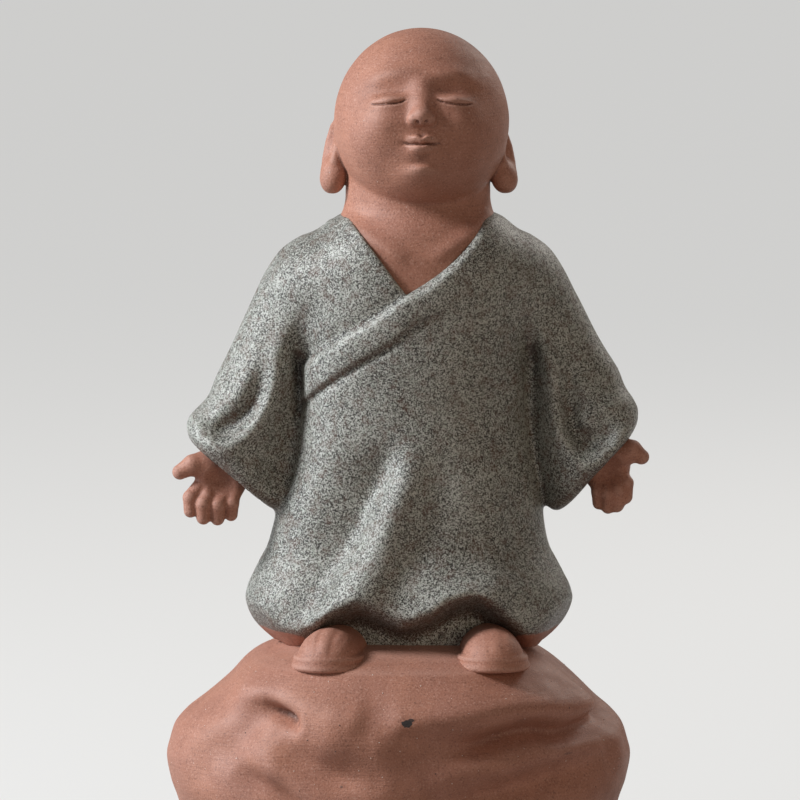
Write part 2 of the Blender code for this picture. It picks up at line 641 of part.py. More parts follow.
def face_relief(way):
    """The skull and a child's plain closed-eyed face, as mm out from the oval head. way is a unit vector."""
    x, y, z = way
    front = max(-y, 0.0)
    cheeks = 1.5 * front**0.5 * (hump(x, 0.48, 0.27) + hump(x, -0.48, 0.27)) * hump(z, -0.42, 0.28)
    jowls = 0.9 * (hump(abs(x), 0.8, 0.3)) * hump(z, -0.5, 0.3)
    chin = 1.0 * front * hump(x, 0, 0.24) * hump(z, -0.72, 0.15)
    brow = 0.35 * front * hump(abs(x), 0.30, 0.22) * hump(z, 0.13, 0.09)
    sockets = -0.9 * front * hump(abs(x), 0.36, 0.19) * hump(z, -0.03, 0.10)
    lids = 0.85 * front * hump(abs(x), 0.37, 0.15) * hump(z, -0.095, 0.075)
    slit_height = -0.135 - 0.5 * (abs(x) - 0.37) ** 2
    slits = -0.5 * front * hump(z, slit_height, 0.026) * hump(abs(x), 0.37, 0.14)
    bridge = 0.7 * front * hump(x, 0, 0.10) * hump(z, -0.15, 0.13)
    tip = 2.0 * front * hump(x, 0, 0.115) * hump(z, -0.305, 0.085)
    wings = 0.9 * front * hump(abs(x), 0.13, 0.055) * hump(z, -0.33, 0.05)
    mouth = 0.8 * front * hump(x, 0, 0.22) * hump(z, -0.53, 0.12)
    lips = 0.5 * front * hump(x, 0, 0.14) * (hump(z, -0.495, 0.034) + hump(z, -0.575, 0.038))
    parting = -0.5 * front * hump(x, 0, 0.16) * hump(z, -0.538 + 0.35 * x * x, 0.02)
    crown = -0.7 * hump(z, 0.75, 0.4) * hump(abs(x), 0.8, 0.35)
    nape = -1.4 * max(y, 0.0) * hump(z, -0.72, 0.28)
    features = brow + sockets + lids + slits + bridge + tip + wings + mouth + lips + parting
    return cheeks + jowls + chin + features + crown + nape


def head():
    """The head, made of rings round the nose that lie closest together on the face."""
    polar = np.radians(np.concatenate([
        np.linspace(3, 47, FACE_RINGS), np.linspace(53, 177.5, 14)]))
    lower = Matrix.Rotation(math.radians(18), 3, "X")
    tilt = Matrix.Rotation(-HEAD_TILT, 3, "X")
    size = Matrix.Diagonal((HEAD_HALF_WIDTH, HEAD_HALF_DEPTH, HEAD_HALF_HEIGHT))
    rings = []
    for p in polar:
        ring = []
        for a in ring_angles(HEAD_RING_COUNT):
            way = lower @ Vector((math.sin(p) * math.cos(a), -math.cos(p), math.sin(p) * math.sin(a)))
            ring.append(HEAD_CENTRE + tilt @ (size @ way + way * float(face_relief(way))))
        rings.append(ring)
    return loft("head", rings)


def ear(name, side):
    """A long-lobed ear, a flattened oval with a hollowed shell."""
    bm = bmesh.new()
    bmesh.ops.create_uvsphere(bm, u_segments=18, v_segments=12, radius=1)
    tilt = Matrix.Rotation(-0.55 * HEAD_TILT, 3, "X")
    splay = Matrix.Rotation(side * math.radians(-20), 3, "Z")
    out = HEAD_HALF_WIDTH + EAR_STANDS_OUT - EAR_HALF_THICKNESS - 0.7
    middle = Vector((HEAD_X + side * out, 0.9, HEAD_CENTRE.z - EAR_DROP))
    for vert in bm.verts:
        x, y, z = vert.co
        lobe = hump(z, -0.75, 0.38)
        shell = 1.2 * hump(math.hypot(1.3 * y, z - 0.25), 0, 0.42) if x > 0 else 0
        shape = Vector((side * (x * EAR_HALF_THICKNESS * (1 + 0.4 * lobe) - shell + 0.5 * lobe),
                        y * EAR_HALF_DEPTH * (1 + 0.2 * lobe), z * EAR_HALF_HEIGHT))
        vert.co = middle + tilt @ splay @ shape
    return build_mesh(name, bm)


# Shoes

def shoe_outline(grow, heel=0.0, points=14):
    """A shoe seen from above, from the toe's tip at y = 0 to the heel, with a round toe."""
    half = SHOE_HALF_WIDTH + grow
    bend = TOE_BEND * half
    toe = []
    for k in range(points + 1):
        a = math.pi * k / points
        toe.append((half * math.cos(a), SOLE_EDGE - grow + bend * (1 - math.sin(a))))
    return [(half, SHOE_LENGTH + heel)] + toe + [(-half, SHOE_LENGTH + heel)]


def placed_shoe(name, layers, x, toe_out):
    turn = Matrix.Rotation(toe_out, 3, "Z")
    toe = Vector((x, -TOE_FORWARD, 0))
    return loft(name, [[toe + turn @ Vector((px, py, z)) for px, py in outline] for outline, z in layers])


def shoe_sole(name, x, toe_out):
    layers = []
    for rise, grow in ((0, -0.45), (0.28, 0), (0.75, 0), (1, -0.4)):
        layers.append((shoe_outline(SOLE_EDGE + grow), SOLE_Z + rise * SOLE_THICKNESS))
    return placed_shoe(name, layers, x, toe_out)


def upper_layers(slip=0.0):
    """The toe cap's outlines and their heights, larger all round by slip."""
    base = SOLE_Z + SOLE_THICKNESS + SLIP
    steps = 7
    layers = []
    for i in range(steps + 1):
        a = CAP_ARC * i / steps
        shrink = 1 - math.cos(a)
        outline = []
        for px, py in shoe_outline(slip - UPPER_INSET, slip - UPPER_INSET):
            back = CAP_SLOPE * shrink if py < SHOE_LENGTH - UPPER_INSET else 0
            outline.append((px * (1 - 0.9 * shrink), py + back))
        layers.append((outline, base + (UPPER_HEIGHT + slip) * math.sin(a)))
    return layers


def shoe_upper(name, x, toe_out):
    """The domed toe cap of a cloth shoe."""
    return placed_shoe(name, upper_layers(), x, toe_out)


def shoe_seat(name, x, toe_out):
    """The room that a shoe and the slip round it take up in the boulder and the robe."""
    wide = shoe_outline(SOLE_EDGE + SLIP, SLIP)
    sole = [(wide, SOLE_Z - SLIP), (wide, SOLE_Z + SOLE_THICKNESS + SLIP)]
    return as_helper(placed_shoe(name, sole + upper_layers(SLIP), x, toe_out))


# The whole figure

def box_of(objects):
    """Lowest and highest corners of the finished pieces."""
    graph = bpy.context.evaluated_depsgraph_get()
    points = []
    for obj in objects:
        evaluated = obj.evaluated_get(graph)
        points += [obj.matrix_world @ Vector(corner) for corner in evaluated.bound_box]
    return (Vector(min(p[i] for p in points) for i in range(3)),
            Vector(max(p[i] for p in points) for i in range(3)))


def main():
    clear_scene()
    red_clay = make_material("red_clay", (0.36, 0.155, 0.10), 0.62)
    speckled_glaze = make_material("speckled_glaze", (0.25, 0.25, 0.225), 0.48)

    rock = rock_base()
    robe = robe_body()
    lapel = lapel_band()
    sleeves = [sleeve("sleeve_right", -1), sleeve("sleeve_left", 1)]
    hands = [hand("hand_right", -1), hand("hand_left", 1)]
    neck = neck_chest()
    skull = head()
    ears = [ear("ear_right", -1), ear("ear_left", 1)]
    shoes = (("right", SHOE_RIGHT_X, -TOE_OUT_RIGHT), ("left", SHOE_LEFT_X, TOE_OUT_LEFT))
    soles = [shoe_sole(f"shoe_sole_{side}", x, turn) for side, x, turn in shoes]
    uppers = [shoe_upper(f"shoe_upper_{side}", x, turn) for side, x, turn in shoes]

    wedge = opening_wedge("collar_opening", 0, NECK_Y)
    robe_seat = grown_copy(robe)
    lapel_seat = grown_copy(lapel)
    head_seat = grown_copy(skull)
    shoe_seats = [shoe_seat(f"shoe_seat_{side}", x, turn) for side, x, turn in shoes]
    cut(rock, *shoe_seats, robe_seat)
    cut(robe, wedge, as_helper(neck_column("neck_seat", SLIP)), lapel_seat, *shoe_seats)
    cut(lapel, wedge)
    for piece, side, place in zip(sleeves, (-1, 1), ("right", "left")):
        cut(piece, robe_seat, lapel_seat, wrist_socket(f"wrist_socket_{place}", side))
    cut(neck, head_seat)
    boolean(neck, "UNION", upright_peg("head_tenon", TENON_RADIUS, HEAD_BOTTOM_Z - 3,
                                       HEAD_BOTTOM_Z + TENON_LENGTH))
    cut(skull, upright_peg("head_socket", TENON_RADIUS + SLIP, HEAD_BOTTOM_Z - 3,
                           HEAD_BOTTOM_Z + TENON_LENGTH + SLIP))
    for piece in ears:
        cut(piece, head_seat)

    of_clay = [rock, neck, skull, *hands, *ears, *soles, *uppers]
    glazed = [robe, lapel, *sleeves]
    for obj in of_clay:
        obj.data.materials.append(red_clay)
    for obj in glazed:
        obj.data.materials.append(speckled_glaze)

    low, high = box_of(of_clay + glazed)
    root = bpy.data.objects.new("tea_pet", None)
    bpy.context.scene.collection.objects.link(root)
    for obj in list(bpy.context.scene.objects):
        if obj is not root:
            obj.parent = root
    root.location = (-(low.x + high.x) / 2, -(low.y + high.y) / 2, -low.z)


main()
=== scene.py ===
import math
from itertools import product
import bmesh
import bpy
import numpy as np
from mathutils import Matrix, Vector


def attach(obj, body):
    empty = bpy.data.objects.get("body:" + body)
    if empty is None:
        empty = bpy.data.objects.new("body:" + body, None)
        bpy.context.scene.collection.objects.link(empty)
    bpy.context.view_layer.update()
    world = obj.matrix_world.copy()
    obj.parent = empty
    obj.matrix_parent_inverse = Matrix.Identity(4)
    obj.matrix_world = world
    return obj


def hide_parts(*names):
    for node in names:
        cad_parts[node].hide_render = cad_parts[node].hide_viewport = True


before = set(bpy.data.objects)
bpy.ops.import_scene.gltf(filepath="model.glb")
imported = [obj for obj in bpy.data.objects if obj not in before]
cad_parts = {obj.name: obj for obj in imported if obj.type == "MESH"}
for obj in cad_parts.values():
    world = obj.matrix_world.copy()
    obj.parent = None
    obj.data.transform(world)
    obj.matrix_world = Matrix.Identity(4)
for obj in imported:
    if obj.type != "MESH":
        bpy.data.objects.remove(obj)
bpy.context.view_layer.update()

# Shapes below are worked out in millimetres, as if carved from a block: each is a field that is
# negative inside the clay, and makeSkin() lays a fine mesh where the field is zero.
mm = 0.001
figure = {"shiftX": -0.201, "shiftY": 0.857, "rockTop": 37.4, "footZ": 35.6, "collarZ": 109.6}


# camera, light and stage

view = {
    "elevation": 6, "distance": 1800, "lens": 475, "sensor": 36, "nearest": 0.01,
    "centreX": -1.36, "centreUp": 76.5,
}
stage = {
    # the floor is wide enough to fill the picture from every side
    "floorHalf": 9, "aim": (0, 0, 0.085), "world": (1.0, 0.95, 0.90, 1), "worldStrength": 0.18,
    # name, place, power, size and colour of each lamp
    "lamps": (
        ("keyLamp", (-0.60, -0.13, 0.50), 6.3, 0.22, (0.95, 0.97, 1.0)),
        ("sideLamp", (-0.62, -0.05, 0.10), 1.9, 0.30, (0.84, 0.92, 1.0)),
        ("fillLamp", (0.45, -0.70, 0.16), 0.95, 0.50, (1.0, 0.75, 0.52)),
        ("rimLamp", (0.34, 0.50, 0.42), 1.3, 0.35, (1.0, 0.94, 0.88)),
    ),
    "paper": (0.74, 0.735, 0.72), "thrownBack": (0.20, 0.17, 0.15), "roughness": 0.9,
    "ownLight": (0.86, 0.86, 0.85), "ownShare": 0.66,
}


def addObject(name, data):
    made = bpy.data.objects.new(name, data)
    bpy.context.scene.collection.objects.link(made)
    return made


def setCamera():
    lens = bpy.data.cameras.new("photoLens")
    lens.lens = view["lens"]
    lens.sensor_width = view["sensor"]
    lens.clip_start = view["nearest"]
    camera = addObject("photoCamera", lens)
    tip = math.radians(view["elevation"])
    back = Vector((0, -math.cos(tip), math.sin(tip)))
    centre = Vector((view["centreX"] + figure["shiftX"], figure["shiftY"], view["centreUp"] / math.cos(tip)))
    camera.location = (centre + back * view["distance"]) * mm
    camera.rotation_euler = back.to_track_quat("Z", "Y").to_euler()
    bpy.context.scene.camera = camera


def addLamp(name, place, power, size, colour):
    light = bpy.data.lights.new(name, "AREA")
    light.energy = power
    light.shape = "DISK"
    light.size = size
    light.color = colour
    lamp = addObject(name, light)
    lamp.location = place
    lamp.rotation_euler = (Vector(place) - Vector(stage["aim"])).to_track_quat("Z", "Y").to_euler()


def setStage():
    bpy.context.scene.view_settings.view_transform = "Standard"
    world = bpy.data.worlds.new("softRoom")
    bpy.context.scene.world = world
    world.use_nodes = True
    room = world.node_tree.nodes["Background"].inputs
    room["Color"].default_value = stage["world"]
    room["Strength"].default_value = stage["worldStrength"]
    for lamp in stage["lamps"]:
        addLamp(*lamp)
    half = stage["floorHalf"]
    corners = [(-half, -half, 0), (half, -half, 0), (half, half, 0), (-half, half, 0)]
    mesh = bpy.data.meshes.new("paleFloor")
    mesh.from_pydata(corners, [], [(0, 1, 2, 3)])
    floor = addObject("paleFloor", mesh)
    mesh.materials.append(makePaper())


# curves and fields

def through(stations, value):
    # a smooth curve through (position, height) stations, with no overshoot between them
    value = np.asarray(value, float)
    if value.size > 4000:
        fine = np.linspace(stations[0][0], stations[-1][0], 1500)
        return np.interp(value, fine, through(stations, fine))
    xs, ys = (np.array(column, float) for column in zip(*stations))
    rise = np.diff(ys) / np.diff(xs)
    slope = np.zeros(len(xs))
    sameWay = rise[:-1] * rise[1:] > 0
    both = np.where(sameWay, rise[:-1] + rise[1:], 1)
    slope[1:-1] = np.where(sameWay, 2 * rise[:-1] * rise[1:] / both, 0)
    slope[0], slope[-1] = rise[0], rise[-1]
    value = np.clip(value, xs[0], xs[-1])
    i = np.clip(np.searchsorted(xs, value, side="right") - 1, 0, len(xs) - 2)
    step = xs[i + 1] - xs[i]
    t = (value - xs[i]) / step
    return ((2 * t**3 - 3 * t**2 + 1) * ys[i] + (t**3 - 2 * t**2 + t) * step * slope[i]
            + (3 * t**2 - 2 * t**3) * ys[i + 1] + (t**3 - t**2) * step * slope[i + 1])


def hump(value, centre, width):
    return np.exp(-(((value - centre) / width) ** 2))


def ease(low, high, value):
    t = np.clip((value - low) / (high - low), 0, 1)
    return t * t * (3 - 2 * t)


def pathDistance(u, v, path):
    nearest = np.full(np.shape(u + v), 1e9)
    for (au, av), (bu, bv) in zip(path[:-1], path[1:]):
        du, dv = bu - au, bv - av
        t = np.clip(((u - au) * du + (v - av) * dv) / (du * du + dv * dv), 0, 1)
        nearest = np.minimum(nearest, np.hypot(u - au - t * du, v - av - t * dv))
    return nearest


def drawn(path, parts=6):
    # the path as a smooth line of (across, up, strength). strength is 1 where the path gives none
    held = np.array([(*point, 1.0)[:3] for point in path], float)
    held = np.vstack([2 * held[0] - held[1], held, 2 * held[-1] - held[-2]])
    line = []
    for a, b, c, d in zip(held[:-3], held[1:-2], held[2:-1], held[3:]):
        for t in np.arange(parts) / parts:
            line.append(0.5 * (2 * b + (c - a) * t + (2 * a - 5 * b + 4 * c - d) * t**2
                               + (3 * b - a - 3 * c + d) * t**3))
    return line + [held[-2]]


def onPath(u, v, path, width, crispness=2.0):
    # the path's strength on it, fading to nearly 0 at twice the width from it
    nearest = np.full(np.shape(u + v), 1e9)
    strength = np.ones(np.shape(u + v))
    line = drawn(path)
    for (au, av, aw), (bu, bv, bw) in zip(line[:-1], line[1:]):
        du, dv = bu - au, bv - av
        t = np.clip(((u - au) * du + (v - av) * dv) / (du * du + dv * dv), 0, 1)
        away = np.hypot(u - au - t * du, v - av - t * dv)
        strength = np.where(away < nearest, aw + t * (bw - aw), strength)
        nearest = np.minimum(nearest, away)
    return strength * np.exp(-((nearest / width) ** crispness))


def reliefOf(folds, u, v):
    # the sum of ridges (+) and grooves (-), each as how far out, how wide, how crisp if given, and its way
    return sum(out * onPath(u, v, path, *shape) for out, *shape, path in folds)


def chart(make, low, high, step=0.25):
    # a table of make(u, v) over a rectangle, read back by blending the four nearest entries
    counts = [int(math.ceil((hi - lo) / step)) + 1 for lo, hi in zip(low, high)]
    table = make(*np.meshgrid(*(lo + step * np.arange(n) for lo, n in zip(low, counts)), indexing="ij"))

    def read(u, v):
        a = np.clip((u - low[0]) / step, 0, counts[0] - 1.001)
        b = np.clip((v - low[1]) / step, 0, counts[1] - 1.001)
        i, j = a.astype(int), b.astype(int)
        a, b = a - i, b - j
        return ((1 - a) * ((1 - b) * table[i, j] + b * table[i, j + 1])
                + a * ((1 - b) * table[i + 1, j] + b * table[i + 1, j + 1]))
    return read


def ovalRadius(angle, halfX, halfY, squareness=2.2):
    across = np.abs(np.cos(angle) / halfX) ** squareness
    along = np.abs(np.sin(angle) / halfY) ** squareness
    return (across + along) ** (-1 / squareness)


def softMin(a, b, k):
    h = np.clip(0.5 + 0.5 * (b - a) / k, 0, 1)
    return b + (a - b) * h - k * h * (1 - h)


def softMax(a, b, k):
    return -softMin(-a, -b, k)


def egg(x, y, z, sizes):
    k0 = np.sqrt((x / sizes[0]) ** 2 + (y / sizes[1]) ** 2 + (z / sizes[2]) ** 2)
    k1 = np.sqrt((x / sizes[0] ** 2) ** 2 + (y / sizes[1] ** 2) ** 2 + (z / sizes[2] ** 2) ** 2)
    return k0 * (k0 - 1) / np.maximum(k1, 1e-9)


def limb(x, y, z, start, end, startRadius, endRadius):
    d = [e - s for s, e in zip(start, end)]
    t = ((x - start[0]) * d[0] + (y - start[1]) * d[1] + (z - start[2]) * d[2]) / sum(v * v for v in d)
    t = np.clip(t, 0, 1)
    away = np.sqrt((x - start[0] - t * d[0]) ** 2 + (y - start[1] - t * d[1]) ** 2
                   + (z - start[2] - t * d[2]) ** 2)
    return away - startRadius - (endRadius - startRadius) * t


def unevenness(x, y, z, size, seed):
    # smooth random swells of about one size, between -1 and 1
    table = np.random.RandomState(seed).uniform(-1, 1, (32, 32, 32))
    cells, parts = [], []
    for v in (x, y, z):
        v = v / size + 1000
        whole = np.floor(v)
        t = v - whole
        cells.append((whole.astype(int) % 32, (whole.astype(int) + 1) % 32))
        parts.append(t * t * (3 - 2 * t))
    total = 0
    for i, j, k in product((0, 1), repeat=3):
        wx, wy, wz = (part if far else 1 - part for far, part in zip((i, j, k), parts))
        total = total + wx * wy * wz * table[cells[0][i], cells[1][j], cells[2][k]]
    return total


def tiltBack(y, z, angle):
    # the local y and z of a form that leans back by this angle
    return y * math.cos(angle) - z * math.sin(angle), y * math.sin(angle) + z * math.cos(angle)


# laying a mesh on a field

def sampleField(field, low, step, counts):
    axes = [lo + step * np.arange(n + 1) for lo, n in zip(low, counts)]
    wide = np.meshgrid(*(axis[::4] for axis in axes), indexing="ij")
    rough = field(*(v.ravel() for v in wide)).reshape(wide[0].shape)
    near = np.full(tuple(n // 4 for n in counts), 1e9)
    for i, j, k in product((0, 1), repeat=3):
        corner = rough[i:i + near.shape[0], j:j + near.shape[1], k:k + near.shape[2]]
        near = np.minimum(near, np.abs(corner))
    near = near < 6.5 * step
    cells = near.repeat(4, 0).repeat(4, 1).repeat(4, 2)
    wanted = np.zeros(tuple(n + 1 for n in counts), bool)
    for i, j, k in product((0, 1), repeat=3):
        wanted[i:i + counts[0], j:j + counts[1], k:k + counts[2]] |= cells
    pick = [np.minimum(np.arange(n + 1) // 4, n // 4 - 1) for n in counts]
    values = np.sign(rough[np.ix_(*pick)]) * 1e3
    i, j, k = np.nonzero(wanted)
    values[i, j, k] = field(axes[0][i], axes[1][j], axes[2][k])
    return values


def netOf(values, low, step):
    inside = values < 0
    shape = tuple(n - 1 for n in values.shape)
    corners = list(product((0, 1), repeat=3))
    count = np.zeros(shape, np.int8)
    for i, j, k in corners:
        count += inside[i:i + shape[0], j:j + shape[1], k:k + shape[2]]
    cells = np.argwhere((count > 0) & (count < 8))
    held = np.stack([values[cells[:, 0] + i, cells[:, 1] + j, cells[:, 2] + k] for i, j, k in corners], 1)
    total = np.zeros((len(cells), 3))
    crossings = np.zeros(len(cells))
    for a, ca in enumerate(corners):
        for b, cb in enumerate(corners):
            if b <= a or sum(abs(p - q) for p, q in zip(ca, cb)) != 1:
                continue
            fa, fb = held[:, a], held[:, b]
            crossed = (fa < 0) != (fb < 0)
            t = np.where(crossed, fa / np.where(crossed, fa - fb, 1), 0)
            total += crossed[:, None] * (np.array(ca) + t[:, None] * (np.array(cb) - np.array(ca)))
            crossings += crossed
    points = np.array(low) + step * (cells + total / crossings[:, None])
    ids = np.full(shape, -1, np.int64)
    ids[tuple(cells.T)] = np.arange(len(cells))
    faces = []
    for axis in range(3):
        u, v = (axis + 1) % 3, (axis + 2) % 3
        here = [slice(None)] * 3
        there = [slice(None)] * 3
        here[axis], there[axis] = slice(None, -1), slice(1, None)
        for other in (u, v):
            here[other] = there[other] = slice(1, -1)
        first, second = inside[tuple(here)], inside[tuple(there)]
        for outward, which in ((True, first & ~second), (False, ~first & second)):
            at = np.argwhere(which)
            at[:, u] += 1
            at[:, v] += 1
            ring = []
            for du, dv in ((-1, -1), (0, -1), (0, 0), (-1, 0)):
                cell = at.copy()
                cell[:, u] += du
                cell[:, v] += dv
                ring.append(ids[tuple(cell.T)])
            faces.append(np.stack(ring if outward else ring[::-1], 1))
    return points, np.concatenate(faces)


def slopeOf(field, points, reach=0.03):
    parts = []
    for axis in range(3):
        shift = np.zeros(3)
        shift[axis] = reach
        parts.append((field(*(points + shift).T) - field(*(points - shift).T)) / (2 * reach))
    return np.stack(parts, 1)


def settle(field, points, step):
    for _ in range(2):
        slope = slopeOf(field, points)
        steep = np.maximum((slope**2).sum(1), 0.05)[:, None]
        for _ in range(2):
            move = field(*points.T)[:, None] * slope / steep
            points = points - np.clip(move, -0.6 * step, 0.6 * step)
    return points


def bendOf(field, points, reach=0.45):
    total = -6 * field(*points.T)
    for axis in range(3):
        for way in (-reach, reach):
            shift = np.zeros(3)
            shift[axis] = way
            total = total + field(*(points + shift).T)
    return total / reach**2


def makeSkin(name, field, low, high, step, nodes, material):
    counts = [int(math.ceil((hi - lo) / (4 * step))) * 4 for lo, hi in zip(low, high)]
    points, faces = netOf(sampleField(field, low, step, counts), low, step)
    points = settle(field, points, step)
    bend = bendOf(field, points)
    slope = slopeOf(field, points)
    lean = slope[:, 2] / np.maximum(np.sqrt((slope**2).sum(1)), 1e-6)
    mesh = bpy.data.meshes.new(name)
    placed = (points + np.array([figure["shiftX"], figure["shiftY"], 0])) * mm
    mesh.from_pydata(placed.tolist(), [], faces.tolist())
    mesh.shade_smooth()
    # bend is above 0 on edges and below 0 in creases, and lean is -1 where the surface faces the ground
    mesh.attributes.new("bend", "FLOAT", "POINT").data.foreach_set("value", bend.astype(np.float32))
    mesh.attributes.new("lean", "FLOAT", "POINT").data.foreach_set("value", lean.astype(np.float32))
    mesh.materials.append(material)
    piece = addObject(name, mesh)
    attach(piece, "root")
    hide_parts(*nodes)
    print(f"{name}: {2 * len(faces)} triangles")
    return piece


# shader maths

class Wire:
    # one output in a material, so that sums and products of outputs read as plain arithmetic
    def __init__(self, shop, socket):
        self.shop = shop
        self.socket = socket

    def sums(self, how, a, b):
        return self.shop.node("ShaderNodeMath", {"operation": how}, a, b)


for sign, how in (("add", "ADD"), ("sub", "SUBTRACT"), ("mul", "MULTIPLY"), ("truediv", "DIVIDE")):
    setattr(Wire, f"__{sign}__", lambda a, b, way=how: a.sums(way, a, b))
    setattr(Wire, f"__r{sign}__", lambda a, b, way=how: a.sums(way, b, a))


class MaterialShop:
    def __init__(self, name):
        self.material = bpy.data.materials.new(name)
        self.material.use_nodes = True
        self.tree = self.material.node_tree
        self.shader = self.tree.nodes["Principled BSDF"]
        self.place = self.node("ShaderNodeTexCoord", {}, out="Object")

    def node(self, kind, settings, *values, out=0, **named):
        made = self.tree.nodes.new(kind)
        for key, value in settings.items():
            if key == "stops":
                ramp = made.color_ramp
                while len(ramp.elements) < len(value):
                    ramp.elements.new(0.5)
                for element, (position, colour) in zip(ramp.elements, value):
                    element.position = position
                    element.color = (*colour, 1)
            else:
                setattr(made, key, value)
        for key, value in list(enumerate(values)) + list(named.items()):
            if value is None:
                continue
            self.plug(made.inputs[key], value)
        return Wire(self, made.outputs[out])

    def plug(self, socket, value):
        if isinstance(value, Wire):
            self.tree.links.new(value.socket, socket)
        elif isinstance(value, tuple) and len(value) == 3 and socket.type == "RGBA":
            socket.default_value = (*value, 1)
        else:
            socket.default_value = value

    def mix(self, share, a, b):
        made = self.tree.nodes.new("ShaderNodeMix")
        made.data_type = "RGBA"
        self.plug(made.inputs[0], share)
        self.plug(made.inputs[6], a)
        self.plug(made.inputs[7], b)
        return Wire(self, made.outputs[2])

    def noise(self, size, detail=2.0, roughness=0.5, stretch=(1, 1, 1), seed=0.0):
        # swells of about this size in millimetres, from 0 to 1
        where = self.node("ShaderNodeMapping", {}, self.place, (seed, seed * 0.7, -seed),
                          (0, 0, 0), stretch)
        return self.node("ShaderNodeTexNoise", {}, out="Fac", Vector=where, Scale=1000 / size,
                         Detail=detail, Roughness=roughness)

    def ramp(self, value, low, high):
        return self.node("ShaderNodeMapRange", {"interpolation_type": "SMOOTHSTEP"}, value, low, high,
                         0.0, 1.0)

    def attribute(self, name):
        return self.node("ShaderNodeAttribute", {"attribute_name": name}, out="Fac")

    def spot(self, centre, halves, wobble=0.5):
        # 1 on a small ragged spot round a point, both in millimetres of the figure
        x, y, z = centre
        middle = ((x + figure["shiftX"]) * mm, (y + figure["shiftY"]) * mm, z * mm)
        kind = "ShaderNodeVectorMath"
        away = self.node(kind, {"operation": "SUBTRACT"}, self.place, middle)
        away = self.node(kind, {"operation": "MULTIPLY"}, away, tuple(1000 / h for h in halves))
        far = self.node(kind, {"operation": "LENGTH"}, away, out="Value")
        return self.ramp(1 - far + (self.noise(0.6, seed=5.5) - 0.5) * (2 * wobble), -0.06, 0.14)

    def set(self, name, value):
        self.plug(self.shader.inputs[name], value)

    def bump(self, height, depth):
        # depth in millimetres for a height that runs from 0 to 1
        made = self.node("ShaderNodeBump", {}, out="Normal", Strength=1.0, Distance=depth * mm, Height=height)
        self.set("Normal", made)


def srgb(red, green, blue):
    shades = (c / 255 for c in (red, green, blue))
    return tuple(c / 12.92 if c <= 0.0405 else ((c + 0.055) / 1.055) ** 2.4 for c in shades)


def makePaper():
    # seen straight on or mirrored, the paper is mostly its own pale colour, and the rest of it takes the
    # shadow. what it throws back on to the object is darker, as from a wooden table
    shop = MaterialShop("palePaper")
    path = shop.tree.nodes.new("ShaderNodeLightPath")
    seen = Wire(shop, path.outputs["Is Camera Ray"])
    for other in ("Is Glossy Ray", "Is Transmission Ray"):
        seen = seen.sums("MAXIMUM", seen, Wire(shop, path.outputs[other]))
    shop.set("Base Color", shop.mix(seen, stage["thrownBack"], stage["paper"]))
    shop.shader.inputs["Roughness"].default_value = stage["roughness"]
    light = shop.node("ShaderNodeEmission", {}, Color=stage["ownLight"])
    body = Wire(shop, shop.shader.outputs[0])
    mixed = shop.node("ShaderNodeMixShader", {}, seen * stage["ownShare"], body, light)
    shop.plug(shop.tree.nodes["Material Output"].inputs["Surface"], mixed)
    return shop.material


clay = {
    "body": srgb(166, 114, 95), "warm": srgb(178, 123, 100), "dull": srgb(146, 98, 80),
    # crease is the dark of the grain and also painted shade in creases; the pale colour after it is the lighter
    # grain and dust, and also lightens edges
    "crease": srgb(84, 51, 39), "paleClay": srgb(196, 154, 139), "iron": srgb(44, 38, 38),
    "grainDepth": 0.07,
    # iron spots in the boulder: where each is, its half sizes and how dark it is
    "spots": (((-0.2, -32.8, 25.7), (0.88, 4.0, 0.66), 1.0), ((0.55, -32.8, 26.3), (0.55, 4.0, 0.30), 0.9),
              ((27.2, -24.0, 19.2), (0.80, 5.0, 0.22), 0.35), ((-11.2, -31.0, 14.6), (0.24, 4.0, 0.20), 0.6)),
}


def makeClay(name, toolDepth, mottleSize, cloud=1.0, spots=()):
    shop = MaterialShop(name)
    mottle = shop.ramp(shop.noise(mottleSize, 3, 0.6, seed=1.3), 0.32, 0.68)
    patches = shop.ramp(shop.noise(mottleSize * 0.28, 3, 0.6, seed=4.1), 0.30, 0.72)
    grain = shop.noise(0.34, 2, 0.6, seed=2.2)
    dust = shop.noise(0.17, 1, 0.5, seed=8.2)
    strokes = shop.noise(1.1, 3, 0.6, stretch=(0.14, 0.14, 2.6), seed=7.7)
    bend = shop.attribute("bend")
    colour = shop.mix(mottle * (0.75 * cloud), clay["body"], clay["warm"])
    colour = shop.mix(patches * (0.40 * cloud), colour, clay["dull"])
    colour = shop.mix(shop.ramp(strokes, 0.50, 0.72) * 0.42, colour, clay["dull"])
    # lighter on edges, then painted shade: the clay darkens in creases, where shade falls
    colour = shop.mix(shop.ramp(bend, 0.15, 1.6) * 0.35, colour, clay["paleClay"])
    colour = shop.mix(shop.ramp(bend * -1, 0.35, 2.6) * 0.70, colour, clay["crease"])
    colour = shop.mix(shop.ramp(grain, 0.54, 0.72) * 0.55, colour, clay["paleClay"])
    colour = shop.mix(shop.ramp(1 - grain, 0.54, 0.72) * 0.50, colour, clay["crease"])
    colour = shop.mix(shop.ramp(dust, 0.56, 0.74) * 0.30, colour, clay["paleClay"])
    for centre, halves, strength in spots:
        colour = shop.mix(shop.spot(centre, halves) * strength, colour, clay["iron"])
    shop.set("Base Color", colour)
    shop.set("Roughness", 0.54 + patches * 0.10 + shop.ramp(grain, 0.4, 0.7) * 0.08)
    height = grain * clay["grainDepth"] + dust * 0.02 + strokes * toolDepth + patches * 0.03
    shop.bump(height, 1.0)
    return shop


glaze = {
    "light": srgb(192, 194, 187), "mid": srgb(98, 95, 88), "dark": srgb(24, 22, 20),
    # brown is a warm tone of the glaze, and also painted shade on the undersides
    "brown": srgb(88, 65, 53), "green": srgb(140, 152, 138), "grain": 0.20, "depth": 0.035,
    # below this height, and a little higher at the sides, the clay is bare
    "edge": 36.0, "edgeAtSides": 2.2,
}


